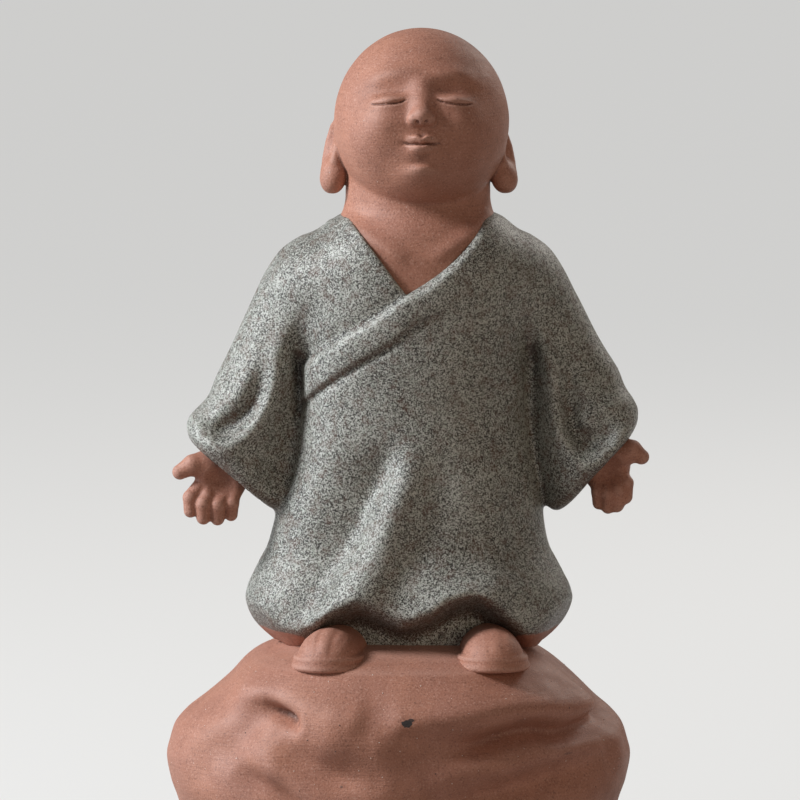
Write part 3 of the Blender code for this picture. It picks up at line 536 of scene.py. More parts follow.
def makeGlaze(name):
    shop = MaterialShop(name)
    coarse = shop.noise(glaze["grain"], 2, 0.6, seed=3.0)
    fine = shop.noise(glaze["grain"] * 0.5, 2, 0.6, seed=9.0)
    cells = shop.node("ShaderNodeTexVoronoi", {"feature": "F1"}, out="Color", Vector=shop.place,
                      Scale=1000 / (glaze["grain"] * 1.15))
    mingled = coarse * 0.52 + fine * 0.28 + cells * 0.20
    cloud = shop.ramp(shop.noise(9.0, 3, 0.55, seed=5.0), 0.28, 0.72)
    bend, lean = shop.attribute("bend"), shop.attribute("lean")
    # painted shade: the glaze is darker and browner where the surface faces the ground, and darker in creases;
    # it is a little lighter on edges
    under = shop.ramp(lean * -1, 0.10, 0.60)
    shift = (cloud * 0.030 - 0.012 + shop.ramp(bend, 0.1, 1.4) * 0.02
             - shop.ramp(bend * -1, 0.15, 1.6) * 0.035 - under * 0.035)
    lit = shop.ramp(mingled + shift, 0.470, 0.570)
    deep = shop.ramp(0.49 - mingled - shift, -0.01, 0.085)
    tint = shop.ramp(shop.noise(0.8, 2, 0.6, seed=12.0), 0.46, 0.66)
    colour = shop.mix(lit, glaze["mid"], shop.mix(tint * 0.45, glaze["light"], glaze["green"]))
    colour = shop.mix(deep, colour, glaze["dark"])
    warm = shop.ramp(shop.noise(1.9, 2, 0.5, seed=6.0), 0.46, 0.70)
    # brown is painted shade on the undersides, and elsewhere a random warm tone among the dark grains
    colour = shop.mix(warm * (deep * 0.5 + 0.3) + under * 0.35, colour, glaze["brown"])
    apart = shop.tree.nodes.new("ShaderNodeSeparateXYZ")
    shop.plug(apart.inputs[0], shop.place)
    across, height = Wire(shop, apart.outputs["X"]), Wire(shop, apart.outputs["Z"])
    side = shop.ramp(shop.node("ShaderNodeMath", {"operation": "ABSOLUTE"}, across * 1000), 14.0, 20.0)
    edge = glaze["edge"] + side * glaze["edgeAtSides"] + shop.noise(1.6, seed=14.0) * 0.6
    bare = shop.ramp(edge - height * 1000, -0.2, 0.25)
    raw = shop.mix(shop.ramp(shop.noise(0.5, 2, 0.6, seed=2.6), 0.4, 0.6), clay["dull"], clay["body"])
    shop.set("Base Color", shop.mix(bare, colour, raw))
    shop.set("Roughness", 0.47 + deep * 0.22 + warm * 0.05 + bare * 0.15)
    shop.set("Coat Weight", 0.08 - bare * 0.08)
    shop.shader.inputs["Coat Roughness"].default_value = 0.45
    shop.bump(mingled + lit * 0.35, glaze["depth"])
    return shop


# boulder

rock = {
    "halfWidth": 39.6, "halfDepth": 31.5, "footInset": 5.2, "offsetX": -1.6, "wall": 4.6, "ceiling": 7.5,
    "step": 0.55,
    # ridges (+) and grooves (-): how far out and how wide in mm, then the way each runs, as bearings in
    # degrees round from the front, shares of the height and, where it fades, its strength there
    "relief": (
        (3.0, 3.3, [(2, 0.70, 0.4), (14, 0.715, 0.8), (28, 0.735), (42, 0.74), (56, 0.735), (68, 0.725),
            (75, 0.72, 0.3), (82, 0.72, 0)]),
        (-3.5, 2.0, [(90, 0.65, 0), (79, 0.645, 0.6), (70, 0.635, 0.9), (62, 0.615), (52, 0.603), (43, 0.625),
            (35, 0.615), (27, 0.585, 0.85), (19, 0.565, 0.35), (12, 0.555, 0)]),
        (-1.5, 1.5, [(77, 0.66, 0.7), (79, 0.70), (80, 0.75, 0.4)]),
        (1.3, 3.8, [(72, 0.52, 0.6), (45, 0.50), (24, 0.45), (8, 0.40, 0.3)]),
        (-3.0, 3.2, [(66, 0.475, 0.5), (55, 0.45), (39, 0.39), (26, 0.345, 0.8), (15, 0.31, 0.3)]),
        (0.9, 5.0, [(1, 0.70), (-3, 0.55), (-9, 0.33, 0.7), (-12, 0.18, 0.4)]),
        (1.9, 4.4, [(-27, 0.64, 0.6), (-19, 0.625), (-8, 0.62, 0.7)]),
        (1.4, 2.8, [(-54, 0.80), (-42, 0.79), (-28, 0.755), (-14, 0.72)]),
        (-0.9, 3.0, [(-125, 0.79, 0.6), (-92, 0.78), (-68, 0.78, 0.5)]),
        (-3.0, 1.45, [(-46, 0.735, 0.15), (-42, 0.715, 0.6), (-38.0, 0.70), (-34.8, 0.684, 1.1),
            (-32.3, 0.672, 0.7)]),
        (-1.8, 3.0, [(-37, 0.60, 0.4), (-31, 0.51), (-21, 0.44), (-9, 0.42, 0.4)]),
        (-1.9, 3.6, [(-42, 0.70, 0.6), (-47, 0.64), (-53, 0.56), (-61, 0.46, 0.5)]),
        (-2.2, 2.6, [(-51, 0.45, 0.3), (-46, 0.41, 0.8), (-40, 0.36), (-34, 0.30), (-26, 0.18, 0.5)]),
        (1.0, 4.2, [(-36, 0.46), (-24, 0.36), (-18, 0.24)]),
        (-2.4, 2.4, [(122, 0.74, 0.5), (140, 0.65), (158, 0.52), (176, 0.28)]),
        (-2.1, 2.7, [(-118, 0.70, 0.5), (-138, 0.56), (-148, 0.42), (-146, 0.19)]),
        (1.4, 3.4, [(-172, 0.66), (-160, 0.40)]),
    ),
}
rock["degree"] = math.radians(1) * (rock["halfWidth"] + rock["halfDepth"]) / 2


def rockCarving(around, z):
    total = np.zeros(np.shape(around))
    for out, width, path in rock["relief"]:
        for turn in (0, 360, -360):
            if min(abs(point[0] + turn) for point in path) < 200:
                placed = [((p[0] + turn) * rock["degree"], p[1] * figure["rockTop"], *p[2:]) for p in path]
                total = total + out * onPath(around, z, placed, width)
    return total


rockRelief = chart(rockCarving, (-180 * rock["degree"], 0), (180 * rock["degree"], figure["rockTop"]))


def rockRadius(angle, z, inset=0.0, relief=1.0):
    share = z / figure["rockTop"]
    wide = through(
        [(0, 0), (0.12, 0.38), (0.25, 0.68), (0.33, 0.88), (0.44, 1.0), (0.50, 0.90), (0.57, 0.74),
         (0.63, 0.40), (0.69, -0.12), (0.76, -0.64), (0.82, -1.12), (0.89, -1.8), (0.925, -2.3),
         (0.965, -3.1), (1, -4.6)], share)
    deep = through(
        [(0, 0), (0.12, 0.50), (0.30, 0.92), (0.5, 1.0), (0.66, 0.94), (0.75, 0.78), (0.82, 0.50),
         (0.885, 0.08), (0.925, -0.56), (0.965, -1.5), (1, -2.9)], share)
    halfX = rock["halfWidth"] - rock["footInset"] * (1 - wide) - inset
    halfY = rock["halfDepth"] - rock["footInset"] * (1 - deep) - inset
    radius = ovalRadius(angle, halfX, halfY, 2.2 + 0.5 * hump(share, 0.9, 0.12))
    bearing = (np.degrees(angle) + 90 + 180) % 360 - 180
    fade = through([(0, 0), (0.08, 1), (0.80, 1), (0.94, 0), (1, 0)], share)
    return radius + relief * fade * rockRelief(bearing * rock["degree"], z)


def rockField(x, y, z):
    angle = np.arctan2(y, x - rock["offsetX"])
    away = np.hypot(x - rock["offsetX"], y)
    level = np.clip(z, 0, figure["rockTop"])
    body = (away - rockRadius(angle, level)) * 0.8
    body = body - 0.18 * unevenness(x, y, z, 10.0, 11) - 0.03 * unevenness(x, y, z, 2.6, 12)
    body = softMax(body, z - figure["rockTop"] + 0.4, 3.0)
    body = softMax(body, -z + 0.02, 0.9)
    ceiling = figure["rockTop"] - rock["ceiling"]
    dome = through([(0, 0), (0.4, 0), (0.6, 0.06), (0.78, 0.28), (0.91, 0.62), (1, 1.3)],
                   np.clip(z, 0, ceiling) / ceiling)
    hollow = (away - rockRadius(angle, np.clip(z, 0, ceiling), rock["wall"] * (1 + dome), 0.6)) * 0.8
    hollow = softMax(hollow, z - ceiling, 2.0)
    return softMax(body, -hollow, 0.9)


# robe

robe = {
    "height": 74.0, "hemRise": 7.0, "hemWidth": 28.0, "hemDepth": 21.5, "chestWidth": 19.6, "chestDepth": 15.2,
    "collarWidth": 13.3, "collarDepth": 12.0, "swell": 1.2, "centreX": 1.1, "neckX": 1.7, "openingZ": 96.2,
    "step": 0.48, "rimRound": 1.9, "sideTuck": 0.95, "frontTuck": 2.5, "backHem": 41.2,
}
# the hem's height along the front, from the figure's right to its left
hemLine = [
    (-28.0, 43.6), (-25.2, 41.6), (-22.4, 40.0), (-18.9, 39.0), (-15.8, 40.3), (-12.0, 42.9), (-8.3, 44.1),
    (-4.5, 42.6), (-0.7, 41.0), (3.5, 42.4), (7.5, 44.7), (11.1, 45.4), (14.5, 43.6), (17.7, 40.6),
    (20.9, 38.2), (24.2, 40.3), (28.0, 43.6),
]
# the folds of its front, as x and height: those that run up from the hem over the shoes, a faint one at the
# side, and the hollows by them
frontFolds = {
    "over": (
        (1.8, 3.3, [(-11.6, 41.5), (-7.6, 46.5), (-5.0, 51.0), (-3.3, 55.5), (-1.4, 61.0, 0.9),
            (-0.2, 67.0, 0.7), (0.8, 73.0, 0.3)]),
        (0.5, 3.0, [(-17.0, 41.0), (-13.0, 46.0), (-9.5, 50.5)]),
        (1.5, 2.7, [(3.2, 41.2, 0.8), (6.9, 43.9), (10.9, 45.8), (14.9, 46.4), (18.4, 45.7, 0.4)]),
        (0.5, 2.6, [(14.4, 52.0, 0.6), (14.6, 60.0), (14.2, 72.0, 0.5)]),
    ),
    "sunk": (
        (0.8, 3.8, [(-3.5, 43.5, 0.6), (-1.0, 48.0), (1.6, 53.5), (3.6, 60.0, 0.8), (4.8, 67.0, 0.3)]),
        (0.6, 2.2, [(18.6, 46.5, 0.5), (18.4, 54.0), (17.6, 63.0, 0.6)]),
    ),
    "valley": [(-18.5, 42.0, 0.6), (-15.2, 47.5), (-10.8, 55.0), (-7.3, 62.0), (-3.9, 67.5), (-2.0, 73.0, 0.4)],
}


def facingFront(angle):
    return np.clip(-np.sin(angle), 0, 1) ** 0.5


def robeCentre(z):
    share = (z - figure["footZ"]) / robe["height"]
    return through([(0, 0.0), (0.2, 0.25 * robe["centreX"]), (0.4, robe["centreX"]), (0.8, robe["centreX"]),
                    (1, robe["neckX"])], share)


def robeSizes(z):
    share = (z - figure["footZ"]) / robe["height"]
    hem = robe["hemRise"] / robe["height"]
    flare = through(
        [(0, 1), (hem, 1), (hem + 0.033, 0.94), (hem + 0.065, 0.80), (hem + 0.098, 0.64), (hem + 0.13, 0.49),
         (hem + 0.195, 0.345), (hem + 0.26, 0.27), (hem + 0.325, 0.14), (hem + 0.39, 0.05), (hem + 0.46, 0),
         (1, 0)], share)
    swell = through([(0, 0), (0.66, 0), (0.76, 0.5), (0.84, 1), (0.90, 1), (1, 0)], share)
    collar = through([(0, 0), (0.80, 0), (0.86, 0.08), (0.92, 0.34), (0.96, 0.66), (1, 1)], share)
    halfX = robe["chestWidth"] + (robe["hemWidth"] - robe["chestWidth"]) * flare + robe["swell"] * swell
    halfY = robe["chestDepth"] + (robe["hemDepth"] - robe["chestDepth"]) * flare
    return halfX + (robe["collarWidth"] - halfX) * collar, halfY + (robe["collarDepth"] - halfY) * collar


def frontDrape(x, z):
    over, sunk = (reliefOf(frontFolds[part], x, z) for part in ("over", "sunk"))
    valley = frontFolds["valley"]
    sunk = sunk + 1.5 * onPath(x, z, valley, 2.8) + 2.1 * onPath(x + 3.2, z, valley, 4.6)
    return over - sunk


frontTable = chart(frontDrape, (-34, 30), (34, 82))


def robeDrape(x, z, angle):
    low, front = ease(77, 50, z), ease(80, 61, z)
    back = np.clip(np.sin(angle), 0, 1) ** 0.5 * (0.9 * np.cos(0.62 * x) - 0.3)
    return front * facingFront(angle) * frontTable(x, z) + low * back


def robeRadius(angle, z, folds=1.0, inset=0.0):
    halfX, halfY = robeSizes(z)
    radius = ovalRadius(angle, halfX - inset, halfY - inset)
    radius = radius + 0.5 * hump(z, 56, 7) * ease(0.3, 0.95, -np.cos(angle))
    if folds == 0:
        return radius
    return radius + folds * robeDrape(robeCentre(z) + radius * np.cos(angle), z, angle)


lapel = {
    # the way its upper edge runs, as x and height
    "top": [(-27.0, 75.4), (-20.0, 82.2), (-16.3, 85.4), (-11.4, 88.9), (-6.5, 92.0), (-2.8, 94.6),
            (-0.4, 96.4), (2.4, 97.6), (5.3, 99.6), (8.3, 102.2), (10.6, 104.8), (14.5, 110.2), (20.0, 117.0)],
    "width": 5.4,
}


def lapelRelief(x, y, z, angle):
    # how far the cloth stands out: the upper layer below the line, and the rolled band along its edge
    line = through(lapel["top"], x)
    slant = (through(lapel["top"], x + 2) - through(lapel["top"], x - 2)) / 4
    below = (line - z) / np.sqrt(1 + slant**2)
    # its lower edge runs a little smoother than its upper one
    soft = (line + through(lapel["top"], x - 2.5) + through(lapel["top"], x + 2.5)) / 3
    lower = (soft - z) / np.sqrt(1 + slant**2)
    front = ease(-0.35, -0.05, -np.sin(angle))
    edge = ease(-0.15, 1.15, below)
    band = edge * ease(lapel["width"] + 0.4, lapel["width"] - 0.9, lower)
    crease = hump(lower, lapel["width"] + 0.3, 0.75)
    fade = ease(12.0, -3.0, x)
    layer = edge * ease(34, 10, below) * 0.45
    roll = 0.22 * hump(below, 0.5 * lapel["width"], 2.2)
    under = ease(3.0, 0.4, -below) * ease(-0.6, 0.1, -below)
    return front * (layer + band * 0.42 * fade + roll * edge * fade - 0.36 * crease * fade - 0.30 * under)


def openingField(x, y, z):
    # negative in the V of the collar, in front of the neck
    rise = z - robe["openingZ"]
    bow = 10.0 * np.clip(rise / 13.4, 0, 1) * np.clip(1 - rise / 13.4, 0, 1)
    left = (-0.77 * rise - (x + 0.3)) / math.hypot(1, 0.77)
    right = ((x + 0.3) - rise - bow) / math.hypot(1, 1.0)
    return softMax(softMax(left, right, 0.3), y - 0.9, 0.4)


arm = {
    "shoulderOut": 11.8, "shoulderDrop": 10.1, "shoulderBack": 3.0, "forward": 4.4, "rootRadius": 9.3,
    "reach": {-1: 19.4, 1: 19.6}, "drop": {-1: 34.1, 1: 32.6}, "cuffSlant": {-1: 50, 1: 42},
    "elbowSlant": 57, "cuffHeight": 10.2, "cuffDepth": 8.2, "cuffWall": 1.7, "recess": 8.0,
    "bulge": {-1: -0.3, 1: 0.5}, "innerCorner": {-1: 1.2, 1: 1.8}, "shoulderFull": 1.3,
}


def armPoints(side):
    shoulder = np.array([arm["shoulderOut"], arm["shoulderBack"], figure["collarZ"] - arm["shoulderDrop"]])
    reach, drop = arm["reach"][side], arm["drop"][side]
    elbow = shoulder + np.array([0.36 * reach, -0.15 * arm["forward"], -0.28 * drop])
    return shoulder, elbow, shoulder + np.array([reach, -arm["forward"], -drop])


def armMiddle(side, t):
    shoulder, elbow, cuff = armPoints(side)
    return [(1 - t) ** 2 * shoulder[i] + 2 * t * (1 - t) * elbow[i] + t * t * cuff[i] for i in range(3)]


def armSlant(side, t):
    elbow, cuff = arm["elbowSlant"], arm["cuffSlant"][side]
    forearm = 0.6 * elbow + 0.4 * cuff
    return np.radians(through([(0, 40), (0.25, 50), (0.5, elbow), (0.75, forearm), (1, cuff)], t))


def armShares(side, out, up):
    # the share of the way down the arm whose slanted section passes through each (out, height)
    shares = np.linspace(-0.25, 1.35, 60)
    found = np.full(out.shape, shares[0])
    before = None
    for t in shares:
        middle, slant = armMiddle(side, t), armSlant(side, t)
        gap = (out - middle[0]) * np.cos(slant) - (up - middle[2]) * np.sin(slant)
        if before is not None:
            crossed = (before > 0) & (gap <= 0)
            portion = before / np.where(crossed, before - gap, 1)
            found = np.where(crossed, t + (portion - 1) * (shares[1] - shares[0]), found)
        before = gap
    return np.where(before > 0, shares[-1], found)


armTables = {side: chart(lambda u, v, s=side: armShares(s, u, v), (-12, 30), (52, 128), 0.5)
             for side in (-1, 1)}


def sleevePlace(side, x, y, z):
    # share of the way down the arm, and how far across and behind its middle each point lies
    out = side * (x - robe["centreX"])
    t = armTables[side](out, z)
    middle, slant = armMiddle(side, t), armSlant(side, t)
    across = (out - middle[0]) * np.sin(slant) + (z - middle[2]) * np.cos(slant)
    return t, across, y - middle[1]


# folds on the front of each sleeve: how far out and how wide in mm, how crisp, and the way each runs,
# as mm down the arm, mm across it and, where it fades, its strength there
sleeveDrape = {
    -1: (
        (-2.0, 1.35, 1.9, [(25.0, 3.0, 0.1), (26.8, 2.5, 0.3), (29.2, 2.0, 0.6), (32.0, 2.2, 0.85),
            (34.2, 3.1, 1.15), (35.9, 4.7, 1.15), (36.8, 6.4, 0.4)]),
        (1.3, 1.9, 2.0, [(12, 3.4, 0.4), (21.5, 2.6, 0.8), (25.7, 0.7), (29.5, -0.2), (33.0, 0.2), (36.2, 2.4),
            (38.4, 6.0), (38.8, 10.0)]),
        (0.7, 1.4, 2.0, [(25.0, 5.2, 0.3), (28.9, 5.2), (31.5, 5.8), (33.9, 6.8)]),
        (-2.9, 3.2, 2.0, [(18.5, -3.6, 0.3), (22.5, -4.7, 0.8), (27.8, -5.6), (35.8, -6.6)]),
    ),
    1: (
        (-2.1, 1.8, 1.9, [(22.0, 5.0, 0.2), (26.7, 2.4, 0.5), (29.6, 0.4, 0.9), (31.9, -0.9), (34.0, -1.0, 1.1),
            (35.6, 0.4, 1.1), (36.8, 3.0, 0.8)]),
        (-1.1, 1.7, 1.9, [(27.4, 6.6, 0.3), (29.8, 7.0, 0.9), (31.6, 6.6, 0.9)]),
        (1.1, 1.8, 2.0, [(30.8, 3.8, 0.2), (33.0, 5.6, 0.8), (34.4, 8.0), (35.2, 10.5, 0.6)]),
        (1.5, 1.9, 2.0, [(14, 3.2, 0.5), (22.6, 1.2), (25.4, 0.2), (28.3, -1.6), (31.6, -3.2), (34.5, -3.4),
            (37.0, -1.4), (38.4, 2.6), (39.0, 6.3)]),
        (-2.2, 2.0, 2.0, [(18.0, -0.6, 0.3), (20.5, -2.0), (24.0, -4.4), (28.5, -7.0), (32.0, -8.8, 0.7),
            (35.5, -10.4, 0.4)]),
    ),
}
creaseTables = {side: chart(lambda u, v, s=side: reliefOf(sleeveDrape[s], u, v), (-12, -18), (52, 18), 0.2)
                for side in (-1, 1)}


def sleeveFolds(side, down, across, angle):
    rim = 0.6 * hump(down, 38.0, 1.8) - 0.5 * hump(down, 33.8, 2.0) * ease(2, 8, across)
    bulge = arm["bulge"][side] * hump(down, 31, 6) * ease(2, 8, across)
    bulge = bulge + arm["shoulderFull"] * hump(down, 12, 10) * ease(1, 7, across)
    corner = arm["innerCorner"][side] * ease(0.1, 1.0, -np.cos(angle)) * ease(22, 38, down)
    return facingFront(angle) * creaseTables[side](down, across) + rim + bulge + corner


def sleeveField(side, x, y, z):
    t, across, behind = sleevePlace(side, x, y, z)
    root = arm["rootRadius"]
    halfHeight = through([(-0.1, 0.30 * root), (0, 0.52 * root), (0.09, 0.82 * root), (0.22, root),
                          (0.45, 1.02 * root), (0.7, (root + arm["cuffHeight"]) / 2), (0.92, arm["cuffHeight"]),
                          (1, arm["cuffHeight"] - 0.5)], t)
    halfDepth = through([(-0.1, 0.30 * root), (0, 0.48 * root), (0.09, 0.76 * root), (0.22, 0.9 * root),
                         (0.6, arm["cuffDepth"]), (0.92, arm["cuffDepth"]), (1, arm["cuffDepth"] - 0.5)], t)
    angle = np.arctan2(behind, across)
    away = np.hypot(across, behind)
    shoulder, _, cuff = armPoints(side)
    length = float(np.linalg.norm(cuff - shoulder))
    radius = ovalRadius(angle, halfHeight, halfDepth, 2.1)
    folds = sleeveFolds(side, t * length, across, angle)
    outer = (away - radius - folds) * 0.9
    past = (t - 1) * length * 1.02 - 0.7
    outer = softMax(outer, past, 2.2)
    outer = softMax(outer, -t * length - 2.0, 1.5)
    inner = (away - radius - np.minimum(folds, 0.4) + arm["cuffWall"] + 0.10 * np.clip(-past, 0, 20)) * 0.9
    inner = softMax(inner, -past - arm["recess"], 2.0)
    return outer, inner


def armpits(x, z):
    # the slits where each sleeve leaves the body
    right = [(-19.1, 86.4, 0.2), (-18.9, 84.4), (-18.7, 82.2), (-18.5, 79.5, 0.6), (-18.4, 75.0, 0.2)]
    left = [(21.7, 87.0, 0.2), (21.7, 84.0), (21.8, 80.0), (21.9, 75.0, 0.7), (22.3, 71.0, 0.2)]
    return reliefOf(((1.6, 0.9, right), (0.8, 1.0, left)), x, z)


armpitTable = chart(armpits, (-24, 58), (28, 98))


def robeField(x, y, z):
    level = np.clip(z, figure["footZ"] - 1, figure["collarZ"])
    centre = robeCentre(level)
    angle = np.arctan2(y, x - centre)
    away = np.hypot(x - centre, y)
    torso = (away - robeRadius(angle, level) - lapelRelief(x, y, z, angle)) * 0.93
    turn = ease(-9.0, 1.0, y)
    hem = through(hemLine, x) * (1 - turn) + (robe["backHem"] + 0.5 * np.cos(0.62 * x)) * turn
    hemX, hemY = robeSizes(np.clip(hem, figure["footZ"], 60))
    slope = robe["sideTuck"] + (robe["frontTuck"] - robe["sideTuck"]) * facingFront(angle) ** 2
    under = away - ovalRadius(angle, hemX, hemY) - 0.45 * robeDrape(x, hem + 3, angle) + (hem - z) * slope
    torso = softMax(torso, under / np.sqrt(1 + slope**2), robe["rimRound"])
    torso = softMax(torso, z - figure["collarZ"] + 0.5, 2.2)
    foot = (away - ovalRadius(angle, 20.8, 14.3)) * 0.9
    foot = softMax(foot, z - 46, 1)
    body = softMin(torso, foot, 1.6)
    body = softMax(body, figure["footZ"] - z, 0.4)
    for side in (-1, 1):
        outer, inner = sleeveField(side, x, y, z)
        body = softMin(body, outer, 1.3 + 6.0 * ease(86, 99, z) * ease(112, 107, z))
        body = softMax(body, -inner, 0.8)
    body = body + armpitTable(x, z) * ease(1.0, -3.0, y)
    body = softMax(body, -openingField(x, y, z), 0.55)
    return body - 0.10 * unevenness(x, y, z, 6.0, 21)


# head, ears, neck and bare chest

head = {
    "size": (14.9, 15.5, 16.2), "middle": (2.3, 0.0, 124.4), "tilt": math.radians(27), "step": 0.27,
    "neckSize": (12.3, 10.6), "neckPlace": (1.7, 0.9), "cloth": 1.3,
    "earSize": (1.7, 3.1, 5.8), "earOut": {-1: 14.2, 1: 13.3}, "earBack": 0.9,
    "earDrop": {-1: 5.8, 1: 6.4}, "earLength": {-1: 1.05, 1: 0.95}, "earLean": math.radians(11),
}
# a calm sleeping child's face, drawn up on plain proportions: every length in mm from the face's middle
face = {
    "eyeOut": 5.6, "eyeUp": -1.9, "lidLength": 3.0, "browUp": 3.0, "noseUp": -5.6, "mouthUp": -9.6,
    "mouthHalf": 2.9, "chinUp": -13.2, "cheekOut": 7.9, "cheekUp": -6.4,
}


def faceRelief(x, y, z):
    front = ease(0.0, 9.0, -y)
    wide = np.abs(x)
    fromEye = wide - face["eyeOut"]
    eyeLine = face["eyeUp"] - 1.0 + 0.085 * fromEye**2
    total = 1.6 * hump(wide, face["cheekOut"], 4.4) * hump(z, face["cheekUp"], 4.2)
    total += 1.6 * hump(x, 0, 3.6) * hump(z, face["chinUp"], 2.1)
    total -= 0.70 * hump(x, 0, 2.8) * hump(z, face["mouthUp"] - 2.5, 0.9)
    total += 0.55 * hump(wide, face["eyeOut"], 3.8) * hump(z, face["browUp"] - 0.02 * fromEye**2, 1.6)
    total -= 0.95 * hump(wide, face["eyeOut"] - 1.0, 3.3) * hump(z, face["eyeUp"] + 1.7, 1.8)
    # the closed lid swells over the eye and ends in a fine line that dips in the middle
    total += 1.05 * hump(fromEye, 0, 2.5) * hump(z, face["eyeUp"] - 0.1, 1.4)
    lid = ease(face["lidLength"] + 0.4, face["lidLength"] - 0.9, np.abs(fromEye))
    total += 0.20 * lid * ease(-0.10, 0.22, z - eyeLine) * ease(2.2, 0.2, z - eyeLine)
    total -= 0.42 * lid * hump(z, eyeLine - 0.02, 0.20)
    total -= 0.05 * lid * hump(z, eyeLine + 2.3, 0.5)
    # mouth: a soft mound, then two lips with the parting between them
    mouthLine = face["mouthUp"] + 0.050 * x * x - 0.10 * hump(x, 0, 0.7)
    total += 0.60 * hump(x, 0, 3.3) * hump(z, face["mouthUp"], 2.2)
    bow = 0.72 - 0.12 * hump(x, 0, 0.45) + 0.10 * hump(wide, 0.9, 0.6)
    upper = ease(face["mouthHalf"] + 0.2, 0.5, wide) * hump(z, mouthLine + bow, 0.55)
    lower = ease(face["mouthHalf"] - 0.2, 0.4, wide) * hump(z, mouthLine - 0.75, 0.62)
    parting = ease(face["mouthHalf"] + 0.35, face["mouthHalf"] - 0.7, wide) * hump(z, mouthLine, 0.19)
    total = total + 0.85 * upper + 1.05 * lower - 0.50 * parting
    total -= 0.20 * hump(wide, face["mouthHalf"] + 0.25, 0.6) * hump(z, face["mouthUp"] + 0.35, 0.45)
    total -= 0.08 * hump(x, 0, 0.6) * hump(z, face["noseUp"] - 2.0, 1.2)
    return total * front


def withNose(x, y, z, skull):
    wide, up = np.abs(x), face["noseUp"]
    bridge = limb(x, y, z, (0, -13.9, 0.2), (0, -15.7, up + 0.9), 1.0, 1.25)
    body = softMin(skull, bridge, 2.4)
    tip = egg(x, y + 16.1, z - up, (1.45, 1.35, 1.15))
    body = softMin(body, tip, 1.2)
    wing = egg(wide - 1.45, y + 15.35, z - up + 0.2, (0.85, 1.15, 0.78))
    body = softMin(body, wing, 0.8)
    nostril = egg(wide - 0.75, y + 16.1, z - up + 1.12, (0.34, 0.60, 0.42))
    return softMax(body, -nostril, 0.3)


def earField(side, x, y, z):
    out = side * (x - head["middle"][0]) - head["earOut"][side]
    y, z = y - head["earBack"], (z - head["middle"][2] + head["earDrop"][side]) / head["earLength"][side]
    y, z = tiltBack(y, z, 0.55 * head["tilt"])
    lean = head["earLean"]
    out, z = out * math.cos(lean) + z * math.sin(lean), z * math.cos(lean) - out * math.sin(lean)
    splay = math.radians(20)
    out, y = out * math.cos(splay) - y * math.sin(splay), out * math.sin(splay) + y * math.cos(splay)
    plate = egg(out + 0.2, y, z - 0.6, head["earSize"])
    lobe = egg(out - 0.30, y + 0.1, z + 3.6, (2.1, 2.3, 2.6))
    ear = softMin(plate, lobe, 1.8)
    rim = pathDistance(y, z, [(-2.1, -1.2), (-2.3, 1.6), (-1.9, 4.0), (-0.2, 5.5), (1.7, 4.8), (2.6, 2.4),
                              (2.5, -0.6), (1.7, -2.6)])
    rim = np.sqrt(rim**2 + (out - 1.0) ** 2) - 0.85
    ear = softMin(ear, rim, 0.9)
    shell = egg(out - 2.0, y - 0.1, z - 1.7, (1.35, 1.3, 2.5))
    return softMax(ear, -shell, 0.7)


def chestFolds(x, z):
    # the soft ridges that run down from the shoulders to the pit of the neck
    right = onPath(x, z, [(-12.0, 109.5, 0.6), (-7.0, 106.0), (-2.5, 103.4), (0.5, 102.2, 0.2)], 1.5)
    left = onPath(x, z, [(15.0, 109.5, 0.6), (10.5, 106.0), (6.5, 103.6), (3.5, 102.2, 0.2)], 1.5)
    return 0.55 * (right + left)


chestTable = chart(chestFolds, (-18, 92), (22, 116))


def headField(x, y, z):
    mx, my, mz = head["middle"]
    lx = x - mx
    ly, lz = tiltBack(y - my, z - mz, head["tilt"])
    skull = egg(lx, ly, lz, head["size"]) - faceRelief(lx, ly, lz)
    skull = skull + 1.2 * np.clip(ly / 15.4, 0, 1) * hump(lz, -11.5, 4.4)
    skull = withNose(lx, ly, lz, skull)
    for side in (-1, 1):
        skull = softMin(skull, earField(side, x, y, z), 0.5)
    nx, ny = head["neckPlace"]
    angle = np.arctan2(y - ny, x - nx)
    away = np.hypot(x - nx, y - ny)
    neck = (away - ovalRadius(angle, *head["neckSize"], 2.0)) * 0.95
    neck = softMax(neck, z - 121, 2.0)
    neck = softMax(neck, 93.5 - z, 1.0)
    level = np.clip(z, 80, figure["collarZ"])
    torsoAngle = np.arctan2(y, x - robeCentre(level))
    torsoAway = np.hypot(x - robeCentre(level), y)
    chest = (torsoAway - robeRadius(torsoAngle, level, 0.0, head["cloth"])) * 0.93
    chest = softMax(chest, z - 107.5, 3.0)
    chest = softMax(chest, 93.5 - z, 1.0)
    chest = softMax(chest, openingField(x, y, z) - 1.6, 0.5)
    neck = softMin(neck, chest, 4.5) - chestTable(x, z) * ease(0, -5, y)
    body = softMin(skull, neck, 0.5)
    return body - 0.045 * unevenness(x, y, z, 3.4, 31)


# hands

hand = {
    "step": 0.17, "palm": (1.5, -2.7, -0.8), "palmSize": (4.3, 2.6, 4.3), "spread": {-1: 1.0, 1: 0.66},
    "thumbReach": {-1: 1.0, 1: 0.80}, "lower": {-1: 0.5, 1: 0.0},
    # roots, knuckles and tips of the fingers, from the first to the little one, from the cuff's middle
    "fingers": (
        ((5.0, -3.5, -1.9), (6.9, -4.9, -4.0), (6.9, -4.7, -6.3), 1.34),
        ((3.3, -3.9, -2.5), (4.7, -5.4, -5.0), (4.7, -5.0, -7.4), 1.42),
        ((1.4, -3.8, -2.8), (2.3, -5.3, -5.4), (2.3, -4.8, -7.6), 1.38),
        ((-0.5, -3.3, -2.6), (-0.1, -4.6, -5.1), (0.0, -4.2, -7.0), 1.30),
    ),
    "thumb": ((3.4, -3.0, 2.2), (6.5, -4.3, 1.5), (8.7, -4.3, 0.3)),
}


